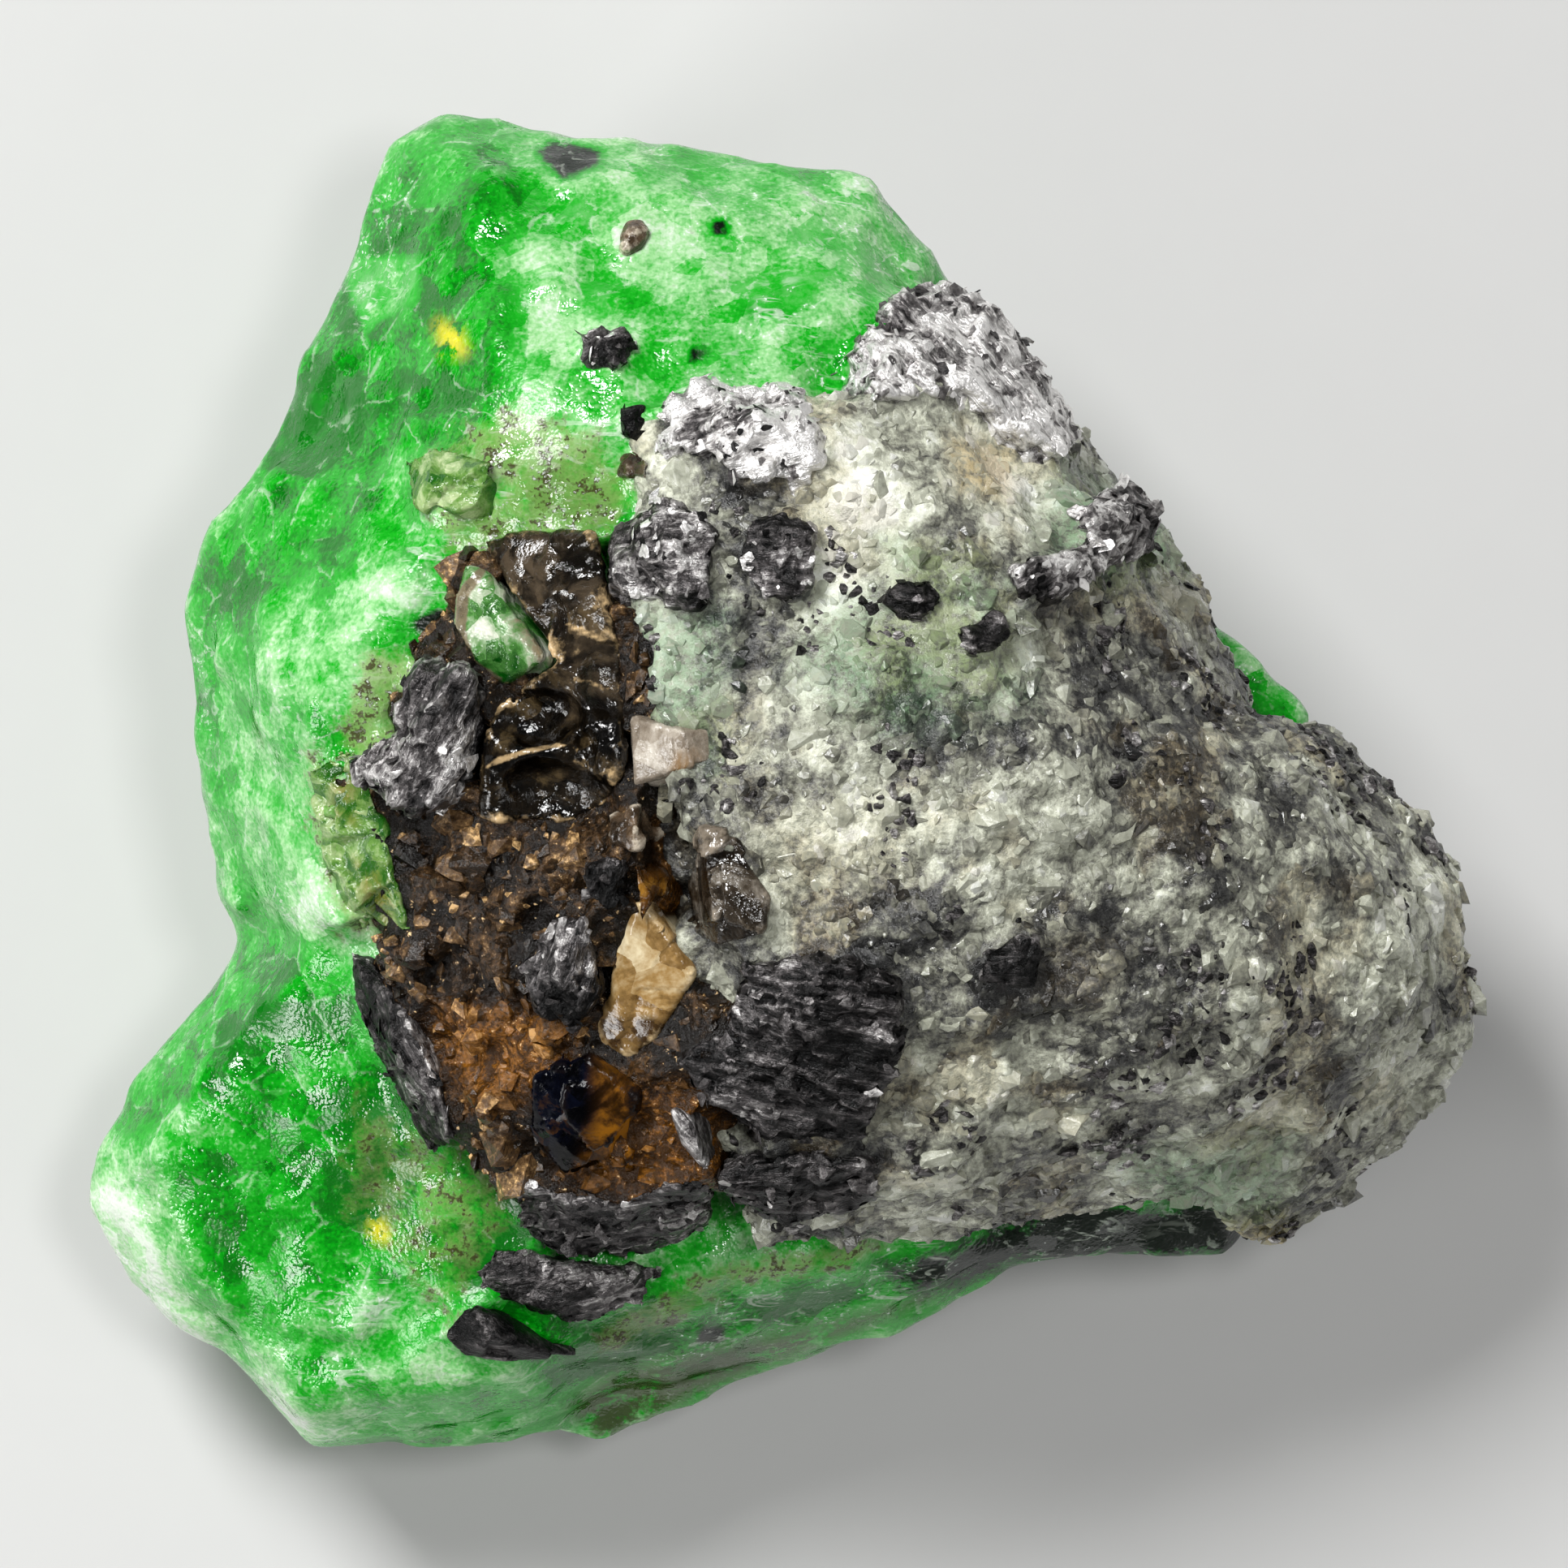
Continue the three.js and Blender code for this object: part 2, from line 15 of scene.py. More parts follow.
import bmesh
import bpy
import numpy as np
import openvdb
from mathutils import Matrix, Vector


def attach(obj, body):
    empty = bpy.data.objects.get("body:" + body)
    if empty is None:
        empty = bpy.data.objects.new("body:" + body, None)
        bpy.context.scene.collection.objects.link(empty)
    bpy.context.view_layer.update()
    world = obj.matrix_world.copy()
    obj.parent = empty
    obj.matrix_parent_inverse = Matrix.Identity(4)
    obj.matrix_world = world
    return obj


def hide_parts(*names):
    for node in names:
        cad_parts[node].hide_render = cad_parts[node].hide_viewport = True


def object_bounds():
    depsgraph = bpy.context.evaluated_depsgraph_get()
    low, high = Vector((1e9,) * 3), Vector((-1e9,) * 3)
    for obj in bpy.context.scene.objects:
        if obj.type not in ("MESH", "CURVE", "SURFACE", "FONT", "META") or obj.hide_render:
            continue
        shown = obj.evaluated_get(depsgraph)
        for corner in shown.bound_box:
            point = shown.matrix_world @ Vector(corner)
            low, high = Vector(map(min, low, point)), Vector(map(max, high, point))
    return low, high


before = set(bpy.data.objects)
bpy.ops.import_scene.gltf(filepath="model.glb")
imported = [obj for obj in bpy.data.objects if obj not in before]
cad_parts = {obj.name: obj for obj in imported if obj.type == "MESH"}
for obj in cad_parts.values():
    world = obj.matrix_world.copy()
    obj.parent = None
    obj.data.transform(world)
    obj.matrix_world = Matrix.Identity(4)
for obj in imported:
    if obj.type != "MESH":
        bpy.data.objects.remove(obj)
cad_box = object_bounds()

Array = np.ndarray
Triple = tuple[float, float, float]
Colour = Triple
Socket = bpy.types.NodeSocket
Value = Union[Socket, float, Colour]

log = logging.getLogger("specimen")

BODY = "root"
MM = 1000.0  # millimetres in a metre
WELD = 1e-7  # metres within which two corners of a solid are the same
BAND = 1.1  # millimetres from a surface within which distances to it are kept
KINDS = 16  # different shapes of grain in a bed


# ---------------------------------------------------------------- noise and plan patches


@dataclass(frozen=True)
class Cells:
    """The nearest seed of a cell pattern for each point."""

    near: Array  # distance to the nearest seed, in cells
    gap: Array  # how much further the second nearest seed is, in cells
    seed: Array  # the nearest seed's place, in millimetres
    keys: Array  # four repeatable numbers from 0 to 1 for the nearest seed


@dataclass(frozen=True)
class Field:
    """Repeatable solid noise over points in millimetres."""

    seed: int

    def toss(self, cell: Array, salt: int) -> Array:
        """A repeatable number from 0 to 1 for each whole-number cell.

        Args:
            cell: Whole-number cell coordinates, one row for each point.
            salt: Picks one of many independent numbers for the same cell.

        Returns:
            One number for each row.
        """
        mixed = cell[:, 0] * 374761393 + cell[:, 1] * 668265263 + cell[:, 2] * 2246822519
        mixed = (mixed + (self.seed * 101 + salt) * 3266489917) & 0xFFFFFFFF
        mixed = ((mixed ^ (mixed >> 15)) * 1274126177) & 0xFFFFFFFF
        mixed = ((mixed ^ (mixed >> 13)) * 1103515245) & 0xFFFFFFFF
        return (mixed ^ (mixed >> 16)) / 2.0**32

    def smooth(self, points: Array, size: float) -> Array:
        """One octave of noise from -1 to 1 whose lumps are `size` across.

        Args:
            points: Where it is wanted, in millimetres.
            size: Width of its lumps.

        Returns:
            One number for each point.
        """
        grid = points / size + 1000.0
        cell = np.floor(grid).astype(np.int64)
        part = grid - cell
        part = part * part * (3.0 - 2.0 * part)
        total = np.zeros(len(points))
        for corner in itertools.product((0, 1), repeat=3):
            share = np.prod(np.where(corner, part, 1.0 - part), axis=1)
            total += share * self.toss(cell + np.array(corner), 0)
        return total * 2.0 - 1.0

    def rough(self, points: Array, size: float, octaves: int = 4) -> Array:
        """Fractal noise from about -1 to 1.

        Args:
            points: Where it is wanted, in millimetres.
            size: Width of its largest lumps.
            octaves: How many times it is repeated at half the size.

        Returns:
            One number for each point.
        """
        total = np.zeros(len(points))
        share = 1.0
        for octave in range(octaves):
            shifted = points + 37.7 * octave
            total += share * Field(self.seed + octave).smooth(shifted, size / 2.0**octave)
            share *= 0.55
        return total / 1.1

    def warped(self, points: Array, size: float, amount: float) -> Array:
        """Points moved about by noise, so that what is read there isn't regular."""
        shifts = [Field(self.seed + 50 + axis).rough(points, size, 2) for axis in range(3)]
        return points + amount * np.stack(shifts, axis=1)

    def cells(self, points: Array, size: float) -> Cells:
        """The cell pattern whose cells are `size` across.

        Args:
            points: Where it is wanted, in millimetres.
            size: Width of a cell.

        Returns:
            The nearest seed for each point.
        """
        grid = points / size + 1000.0
        base = np.floor(grid).astype(np.int64)
        first = np.full(len(points), np.inf)
        second = np.full(len(points), np.inf)
        home = np.zeros_like(grid)
        owner = np.zeros_like(base)
        for shift in itertools.product((-1, 0, 1), repeat=3):
            cell = base + np.array(shift)
            seed = cell + np.stack([self.toss(cell, salt) for salt in (1, 2, 3)], axis=1)
            away = np.linalg.norm(grid - seed, axis=1)
            second = np.minimum(second, np.maximum(first, away))
            closer = away < first
            first = np.where(closer, away, first)
            home[closer] = seed[closer]
            owner[closer] = cell[closer]
        keys = np.stack([self.toss(owner, salt) for salt in (4, 5, 6, 7)], axis=1)
        return Cells(first, second - first, (home - 1000.0) * size, keys)

    def facets(self, points: Array, size: float, slope: float) -> Array:
        """Heights of flat facets, each `size` across and tilted by up to `slope`.

        Args:
            points: Where they are wanted, in millimetres.
            size: Width of a facet.
            slope: Steepest tilt, as a share.

        Returns:
            One height for each point.
        """
        cells = self.cells(points, size)
        tilt = (cells.keys[:, :3] - 0.5) * 2.0 * slope
        return np.sum((points - cells.seed) * tilt, axis=1)


def eased(value: Array, low: float, high: float) -> Array:
    """0 below `low`, 1 above `high`, and a smooth slope between them."""
    part = np.clip((value - low) / (high - low), 0.0, 1.0)
    return part * part * (3.0 - 2.0 * part)


class Zone(Enum):
    """What a patch of a mineral is like. The value is the attribute that carries it."""

    DEEP = "deep"  # clear, saturated garnet
    MILKY = "milky"  # cloudy, pale garnet
    OLIVE = "olive"  # garnet stained yellow-green, with brown specks
    SHADE = "shade"  # very dark garnet: black specks, a dark inclusion, and painted shade along its lower edge
    LEDGE = "ledge"  # greyish garnet with a brown cast
    QUARTZ = "quartz"  # white, quartz-rich gneiss
    CHLORITE = "chlorite"  # dark green gneiss
    RUST_AND_GLINT = "rust"  # iron-stained yellow and orange; on the garnet, two painted yellow glints
    GOLD = "gold"  # shining golden crust; on glassy grains, painted golden highlights along their edges
    SOOT = "soot"  # black, graphite-rich


@dataclass(frozen=True)
class Patch:
    """A zone laid over a mineral, seen from above.

    The corners are shares of the mineral's own box: 0 is its left or front side, 1 its right or back.
    """

    zone: Zone
    corners: tuple[tuple[float, float], ...]
    soft: float = 0.6  # width of its fading edge, in millimetres
    strength: float = 1.0

    def weight(self, points: Array, low: Array, high: Array) -> Array:
        """How far each point is in the patch.

        Args:
            points: Points in millimetres.
            low: Lowest corner of the mineral's box.
            high: Highest corner of the mineral's box.

        Returns:
            A share from 0, outside, to `strength`, well inside.
        """
        corners = np.array(self.corners) * (high - low)[:2] + low[:2]
        plan = points[:, :2]
        away = np.full(len(plan), np.inf)
        inside = np.zeros(len(plan), dtype=bool)
        for start, end in zip(corners, np.roll(corners, -1, axis=0)):
            side = end - start
            along = np.clip((plan - start) @ side / max(side @ side, 1e-9), 0.0, 1.0)
            away = np.minimum(away, np.linalg.norm(plan - start - along[:, None] * side, axis=1))
            spans = (start[1] > plan[:, 1]) != (end[1] > plan[:, 1])
            rise = np.where(abs(side[1]) < 1e-9, 1e-9, side[1])
            crossing = start[0] + (plan[:, 1] - start[1]) * side[0] / rise
            inside ^= spans & (plan[:, 0] < crossing)
        signed = np.where(inside, away, -away)
        return self.strength * eased(signed, -self.soft, self.soft)


# ---------------------------------------------------------------- skins


@dataclass
class Skin:
    """A closed triangle mesh in millimetres, and what its points carry for the shader."""

    points: Array
    triangles: Array
    marks: dict[str, Array] = field(default_factory=dict)

    @classmethod
    def of_solid(cls, node: str) -> "Skin":
        """The bare triangles of a solid of the frame.

        Args:
            node: The solid's name in the frame.

        Returns:
            Its skin, with shared corners.
        """
        shape = bmesh.new()
        shape.from_mesh(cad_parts[node].data)
        bmesh.ops.remove_doubles(shape, verts=shape.verts, dist=WELD)
        bmesh.ops.triangulate(shape, faces=shape.faces)
        points = np.array([corner.co[:] for corner in shape.verts]) * MM
        triangles = np.array([[corner.index for corner in face.verts] for face in shape.faces])
        shape.free()
        return cls(points, triangles)

    @classmethod
    def of_node(cls, node: str, voxel: float) -> "Skin":
        """A fine, even skin over a solid of the frame.

        Args:
            node: The solid's name in the frame.
            voxel: Size of the skin's cells.

        Returns:
            The new skin.
        """
        bare = cls.of_solid(node)
        return Distances.of_skin(bare, *bare.room(voxel), voxel, 4 * voxel).to_skin()

    def room(self, voxel: float, spare: float = 0.8) -> tuple[Array, Array]:
        """The skin's box with some spare room, on whole cells of a grid."""
        low, high = self.box()
        return np.floor((low - spare) / voxel).astype(int), np.ceil((high + spare) / voxel).astype(int)

    def edges(self) -> tuple[Array, Array]:
        """The two ends of every edge, once for each triangle that it borders."""
        following = np.roll(self.triangles, -1, axis=1)
        return self.triangles.ravel(), following.ravel()

    def averaged(self, values: Array) -> Array:
        """The mean of each point's neighbours' values, for values with one row for each point.

        Args:
            values: One row, or one number, for each point.

        Returns:
            The means, shaped the same.
        """
        start, end = self.edges()
        size = len(self.points)
        count = np.bincount(start, minlength=size) + np.bincount(end, minlength=size)
        rows = values.reshape(size, -1)
        means = np.empty_like(rows, dtype=float)
        for column in range(rows.shape[1]):
            total = np.bincount(start, rows[end, column], size)
            total += np.bincount(end, rows[start, column], size)
            means[:, column] = total / np.maximum(count, 1)
        return means.reshape(values.shape)

    def relax(self, rounds: int, share: float = 0.5) -> None:
        """Moves each point towards its neighbours' middle, which rounds the skin off."""
        for _ in range(rounds):
            self.points += share * (self.averaged(self.points) - self.points)

    def normals(self) -> Array:
        """The way that the skin faces at each point.

        Returns:
            One unit vector for each point.
        """
        a, b, c = (self.points[self.triangles[:, i]] for i in range(3))
        across = np.cross(b - a, c - a)
        facing = np.zeros_like(self.points)
        for corner in range(3):
            for axis in range(3):
                facing[:, axis] += np.bincount(
                    self.triangles[:, corner], across[:, axis], len(self.points)
                )
        return facing / np.maximum(np.linalg.norm(facing, axis=1, keepdims=True), 1e-12)

    def ridges(self, rounds: int = 3, height: float = 0.06) -> Array:
        """How far each point stands out from what is round it: 1 is `height`, below 0 is a hollow.

        Args:
            rounds: How wide the surroundings are, in rounds of averaging.
            height: How far out counts as 1, in millimetres.

        Returns:
            One number for each point.
        """
        middle = self.points
        for _ in range(rounds):
            middle = self.averaged(middle)
        out = np.sum((self.points - middle) * self.normals(), axis=1)
        return np.clip(out / height, -1.0, 1.0)

    def push(self, heights: Array) -> None:
        """Moves each point along the way it faces."""
        self.points += self.normals() * heights[:, None]

    def closed(self, voxel: float, gap: float) -> "Skin":
        """The skin with every crack that is narrower than twice `gap` filled up.

        Args:
            voxel: Size of the new skin's cells.
            gap: Half the width of the widest crack.

        Returns:
            The new skin.
        """
        room = self.room(voxel)
        own = Distances.of_skin(self, *room, voxel).values
        swollen = Distances(room[0], voxel, own - gap).to_skin()
        back = Distances.of_skin(swollen, *room, voxel).values + gap
        return Distances(room[0], voxel, np.minimum(own, back)).to_skin()

    def seated(self, neighbours: "Neighbours", voxel: float, gap: float = 0.3) -> "Skin":
        """The skin grown against its neighbours, as minerals that grew together are.

        Narrow gaps beside the neighbours are filled, and the skin dives a little way into them.

        Args:
            neighbours: The minerals beside it.
            voxel: Size of the new skin's cells.
            gap: Half the width of a gap that still fills up, and how far it dives.

        Returns:
            The new skin, with a mark "seam" that is 1 where it meets a neighbour.
        """
        room = self.room(voxel)
        own = Distances.of_skin(self, *room, voxel).values
        others = neighbours.distances(*room, voxel)
        swollen = Distances(room[0], voxel, np.minimum(own, others.values) - gap).to_skin()
        closed = Distances.of_skin(swollen, *room, voxel).values + gap
        depth = np.maximum(-others.values, 0.0)
        groove = 0.05 * (1.0 - eased(np.abs(others.values), 0.0, gap))
        grown = np.maximum(closed + 1.6 * depth + groove, np.maximum(depth - gap, own - 2.0 * gap))
        skin = Distances(room[0], voxel, grown).to_skin()
        skin.marks["seam"] = eased(-others.read(skin.points), -0.4, 0.0)
        return skin

    def box(self) -> tuple[Array, Array]:
        """Lowest and highest corner."""
        return self.points.min(axis=0), self.points.max(axis=0)

    def zone(self, patches: Sequence[Patch]) -> None:
        """Marks each point with how far it is in the patches of each zone.

        Args:
            patches: The patches, whose weights become marks named after their zones.
        """
        low, high = self.box()
        for patch in patches:
            name = patch.zone.value
            weight = patch.weight(self.points, low, high)
            self.marks[name] = np.maximum(self.marks.get(name, np.zeros(len(self.points))), weight)

    def to_object(
        self, name: str, material: bpy.types.Material, smooth: bool = True
    ) -> bpy.types.Object:
        """Makes the Blender object, in metres, riding on the specimen's body.

        Args:
            name: Its name.
            material: Its finish.
            smooth: Whether light rolls over its triangles or breaks on each.

        Returns:
            The new object.
        """
        mesh = bpy.data.meshes.new(name)
        mesh.from_pydata(self.points / MM, [], self.triangles)
        for mark, values in self.marks.items():
            kind, slot = ("FLOAT", "value") if values.ndim == 1 else ("FLOAT_VECTOR", "vector")
            layer = mesh.attributes.new(mark, kind, "POINT")
            layer.data.foreach_set(slot, values.astype(np.float32).ravel())
        mesh.polygons.foreach_set("use_smooth", [smooth] * len(mesh.polygons))
        mesh.materials.append(material)
        mesh.update()
        piece = bpy.data.objects.new(name, mesh)
        bpy.context.scene.collection.objects.link(piece)
        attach(piece, BODY)
        log.info("%s: %d triangles", name, len(self.triangles))
        return piece


def joined(skins: Sequence[Skin]) -> Skin:
    """Several skins as one, with the marks that they all carry.

    Args:
        skins: At least one skin.

    Returns:
        The one skin.
    """
    starts = np.cumsum([0] + [len(skin.points) for skin in skins[:-1]])
    shared = set.intersection(*(set(skin.marks) for skin in skins))
    return Skin(
        np.concatenate([skin.points for skin in skins]),
        np.concatenate([skin.triangles + start for skin, start in zip(skins, starts)]),
        {mark: np.concatenate([skin.marks[mark] for skin in skins]) for mark in sorted(shared)},
    )


@dataclass
class Distances:
    """How far each place of an even grid is from a skin, below 0 inside it."""

    corner: Array  # whole-number place of the first value
    voxel: float
    values: Array

    @classmethod
    def of_skin(cls, skin: Skin, low: Array, high: Array, voxel: float, band: float = BAND) -> "Distances":
        """Measures a skin.

        Args:
            skin: What is measured.
            low: Lowest whole-number place of the grid.
            high: Highest whole-number place of the grid.
            voxel: Size of the grid's cells.
            band: Distance beyond which values stay the same.

        Returns:
            The distances.
        """
        grid = openvdb.FloatGrid.createLevelSetFromPolygons(
            skin.points.astype(np.float32), triangles=skin.triangles.astype(np.uint32),
            transform=openvdb.createLinearTransform(voxelSize=voxel), halfWidth=band / voxel,
        )
        values = np.zeros(high - low + 1, dtype=np.float32)
        grid.copyToArray(values, ijk=tuple(int(place) for place in low))
        return cls(low, voxel, values)

    def to_skin(self) -> Skin:
        """The skin where the distance is 0.

        Returns:
            A closed skin that faces outwards.
        """
        grid = openvdb.FloatGrid(background=float(self.values.max()))
        grid.copyFromArray(self.values, ijk=tuple(int(place) for place in self.corner))
        grid.transform = openvdb.createLinearTransform(voxelSize=self.voxel)
        points, _, quads = grid.convertToPolygons(isovalue=0.0, adaptivity=0.0)
        quads = quads.astype(np.int64)[:, ::-1]
        triangles = np.concatenate([quads[:, [0, 1, 2]], quads[:, [0, 2, 3]]])
        skin = Skin(points.astype(float), triangles)
        a, b, c = (skin.points[triangles[:, i]] for i in range(3))
        if np.sum(a * np.cross(b, c)) < 0.0:
            skin.triangles = triangles[:, ::-1]
        return skin

    def read(self, points: Array) -> Array:
        """The distance at each point, mixed from the eight places round it.

        Args:
            points: Points in millimetres.

        Returns:
            One distance for each point.
        """
        grid = points / self.voxel - self.corner
        cell = np.clip(np.floor(grid).astype(int), 0, np.array(self.values.shape) - 2)
        part = np.clip(grid - cell, 0.0, 1.0)
        total = np.zeros(len(points))
        for corner in itertools.product((0, 1), repeat=3):
            share = np.prod(np.where(corner, part, 1.0 - part), axis=1)
            total += share * self.values[tuple((cell + np.array(corner)).T)]
        return total


@dataclass
class Neighbours:
    """The finished minerals that the next one has to meet."""

    skins: list[Skin] = field(default_factory=list)

    def distances(self, low: Array, high: Array, voxel: float) -> Distances:
        """How far the places of a grid are from the nearest of them.

        Args:
            low: Lowest whole-number place of the grid.
            high: Highest whole-number place of the grid.
            voxel: Size of the grid's cells.

        Returns:
            The distances, which stay the same beyond the band.
        """
        nearest = np.full(high - low + 1, BAND, dtype=np.float32)
        for skin in self.skins:
            box_low, box_high = skin.room(voxel, BAND + voxel)
            start = np.maximum(box_low, low)
            end = np.minimum(box_high, high)
            if np.any(end - start < 2):
                continue
            part = tuple(slice(a, b + 1) for a, b in zip(start - low, end - low))
            nearest[part] = np.minimum(nearest[part], Distances.of_skin(skin, start, end, voxel).values)
        return Distances(low, voxel, nearest)

    def clearance(self, skin: Skin, voxel: float) -> Array:
        """How far each point of a skin is from the nearest of them."""
        return self.distances(*skin.room(voxel), voxel).read(skin.points)


# ---------------------------------------------------------------- beds of small grains


@dataclass(frozen=True)
class Bed:
    """Small angular grains bedded in a skin, one for each cell of an uneven pattern."""

    spacing: float  # millimetres from one grain to the next
    size: tuple[float, float]  # half width of the smallest and of the largest
    flat: float = 0.8  # thickness as a share of the width
    sunk: float = 0.3  # how far the middle is below the skin, as a share of half the thickness
    lean: float = 0.6  # how unevenly they lie: 0 is flat on the skin
    share: float = 1.0  # share of the cells that hold a grain
    corners: int = 13  # of a grain, before its hull is taken
    seed: int = 1

    def shapes(self) -> list[Skin]:
        """Angular grains of about one millimetre half width.

        Returns:
            One skin for each kind of grain.
        """
        random = np.random.default_rng(self.seed)
        made = []
        for _ in range(KINDS):
            heads = random.normal(size=(self.corners, 3))
            heads /= np.linalg.norm(heads, axis=1, keepdims=True)
            heads *= random.uniform(0.82, 1.12, size=(self.corners, 1))
            shape = bmesh.new()
            for head in heads:
                shape.verts.new(head)
            hull = bmesh.ops.convex_hull(shape, input=shape.verts)
            spare = [item for item in hull["geom_interior"] if isinstance(item, bmesh.types.BMVert)]
            bmesh.ops.delete(shape, geom=spare, context="VERTS")
            shape.verts.index_update()
            points = np.array([corner.co[:] for corner in shape.verts])
            triangles = np.array([[corner.index for corner in face.verts] for face in shape.faces])
            made.append(Skin(points, triangles))
            shape.free()
        return made

    def laid(self, skin: Skin, keep: Array) -> Skin:
        """The grains, laid on a skin.

        Args:
            skin: What they are bedded in.
            keep: Which of its points may hold a grain.

        Returns:
            The grains as one skin, with its host's marks and one called "toss", random for each grain.
        """
        random = np.random.default_rng(self.seed + 1)
        allowed = np.flatnonzero(keep)
        cells = Field(self.seed).cells(skin.points[allowed], self.spacing)
        order = np.argsort(cells.near)
        _, first = np.unique(cells.keys[order, 0], return_index=True)
        chosen = allowed[order[first]]
        chosen = chosen[random.random(len(chosen)) < self.share]
        total = len(chosen)
        facing = skin.normals()[chosen] + self.lean * random.normal(size=(total, 3)) * 0.5
        facing /= np.linalg.norm(facing, axis=1, keepdims=True)
        along = np.cross(facing, random.normal(size=(total, 3)))
        along /= np.linalg.norm(along, axis=1, keepdims=True)
        across = np.cross(facing, along)
        least, most = self.size
        width = least + (most - least) * random.random(total) ** 1.7
        sizes = width[:, None] * random.uniform(0.75, 1.25, size=(total, 3)) * np.array([1.0, 1.0, self.flat])
        middle = skin.points[chosen] - facing * (sizes[:, 2] * self.sunk)[:, None]
        axes = np.stack([along * sizes[:, :1], across * sizes[:, 1:2], facing * sizes[:, 2:]], axis=1)
        kinds = random.integers(0, KINDS, size=total)
        tosses = random.random(total)
        beds = []
        for kind, shape in enumerate(self.shapes()):
            rows = np.flatnonzero(kinds == kind)
            if not len(rows):
                continue
            points = np.einsum("pc,gcx->gpx", shape.points, axes[rows]) + middle[rows][:, None]
            starts = (np.arange(len(rows)) * len(shape.points))[:, None, None]
            each = np.repeat(chosen[rows], len(shape.points))
            marks = {name: values[each] for name, values in skin.marks.items()}
            marks["toss"] = np.repeat(tosses[rows], len(shape.points))
            beds.append(Skin(points.reshape(-1, 3), (shape.triangles + starts).reshape(-1, 3), marks))
        return joined(beds)


# ---------------------------------------------------------------- shader graphs


class Graph:
    """A material's nodes, written as calls that return sockets."""

    def __init__(self, name: str) -> None:
        """Starts an empty material whose `place` is the point being shaded, in millimetres.

        Args:
            name: The material's name.
        """
        self.material = bpy.data.materials.new(name)
        self.material.use_nodes = True
        self.tree = self.material.node_tree
        self.tree.nodes.clear()
        self.output = self.tree.nodes.new("ShaderNodeOutputMaterial")
        metres = self.tree.nodes.new("ShaderNodeTexCoord").outputs["Object"]
        self.place = self.scaled(metres, MM)

    def feed(self, socket: Socket, value: Value) -> None:
        """Links a socket to another, or sets it to a number or a colour.

        Args:
            socket: The socket that takes the value.
            value: A socket, a number or a colour.
        """
        if isinstance(value, bpy.types.NodeSocket):
            self.tree.links.new(value, socket)
        elif isinstance(value, tuple) and socket.type == "RGBA":
            socket.default_value = (*value, 1.0)
        else:
            socket.default_value = value

    def scaled(self, vector: Value, scale: float) -> Socket:
        """A vector times a number.

        Args:
            vector: The vector.
            scale: The number.

        Returns:
            The longer or shorter vector.
        """
        node = self.tree.nodes.new("ShaderNodeVectorMath")
        node.operation = "SCALE"
        self.feed(node.inputs[0], vector)
        self.feed(node.inputs["Scale"], scale)
        return node.outputs[0]

    def vector(self, operation: str, first: Value, second: Value = (0.0, 0.0, 0.0)) -> Socket:
        """One vector operation.

        Args:
            operation: The operation's name in the node.
            first: Its first vector.
            second: Its second vector.

        Returns:
            The resulting vector.
        """
        node = self.tree.nodes.new("ShaderNodeVectorMath")
        node.operation = operation
        self.feed(node.inputs[0], first)
        self.feed(node.inputs[1], second)
        return node.outputs["Vector"]

    def math(self, operation: str, first: Value, second: Value) -> Socket:
        """One operation on numbers.

        Args:
            operation: The operation's name in the node.
            first: Its first number.
            second: Its second number.

        Returns:
            The resulting number.
        """
        node = self.tree.nodes.new("ShaderNodeMath")
        node.operation = operation
        self.feed(node.inputs[0], first)
        self.feed(node.inputs[1], second)
        return node.outputs[0]

    def times(self, first: Value, second: Value) -> Socket:
        """The product of two numbers."""
        return self.math("MULTIPLY", first, second)

    def swing(self, noise: Socket, amount: float) -> Socket:
        """How far a noise is above its middle, times an amount."""
        return self.times(self.math("SUBTRACT", noise, 0.5), amount)

    def plus(self, *values: Value) -> Socket:
        """The sum of several numbers.

        Args:
            *values: Two or more numbers.

        Returns:
            Their sum.
        """
        total = values[0]
        for value in values[1:]:
            total = self.math("ADD", total, value)
        return total

    def step(self, value: Value, low: float, high: float, start: float = 0.0, end: float = 1.0) -> Socket:
        """A smooth slope from `start`, where the value is `low`, to `end`, where it is `high`.

        Args:
            value: The number looked up.
            low: Where the slope begins.
            high: Where it ends.
            start: The result up to `low`.
            end: The result from `high` on.

        Returns:
            The result.
        """
        node = self.tree.nodes.new("ShaderNodeMapRange")
        node.interpolation_type = "SMOOTHSTEP"
        for socket, number in zip(node.inputs, (value, low, high, start, end)):
            self.feed(socket, number)
        return node.outputs[0]

    def noise(
        self, place: Value, size: float, detail: float = 4.0, rough: float = 0.55, twist: float = 0.0
    ) -> Socket:
        """Fractal noise round 0.5.

        Args:
            place: Where it is read, in millimetres.
            size: Width of its largest lumps.
            detail: How many finer octaves it has.
            rough: How strong the finer octaves are.
            twist: How far it is distorted.

        Returns:
            A number, mostly from 0.25 to 0.75.
        """
        node = self.tree.nodes.new("ShaderNodeTexNoise")
        self.feed(node.inputs["Vector"], place)
        self.feed(node.inputs["Scale"], 1.0 / size)
        self.feed(node.inputs["Detail"], detail)
        self.feed(node.inputs["Roughness"], rough)
        self.feed(node.inputs["Distortion"], twist)
        return node.outputs[0]

    def cells(self, place: Value, size: float) -> Socket:
        """A random vector for each cell of a pattern.

        Args:
            place: Where it is read, in millimetres.
            size: Width of a cell.

        Returns:
            The vector, whose three numbers go from 0 to 1.
        """
        node = self.tree.nodes.new("ShaderNodeTexVoronoi")
        self.feed(node.inputs["Vector"], place)
        self.feed(node.inputs["Scale"], 1.0 / size)
        return node.outputs["Color"]

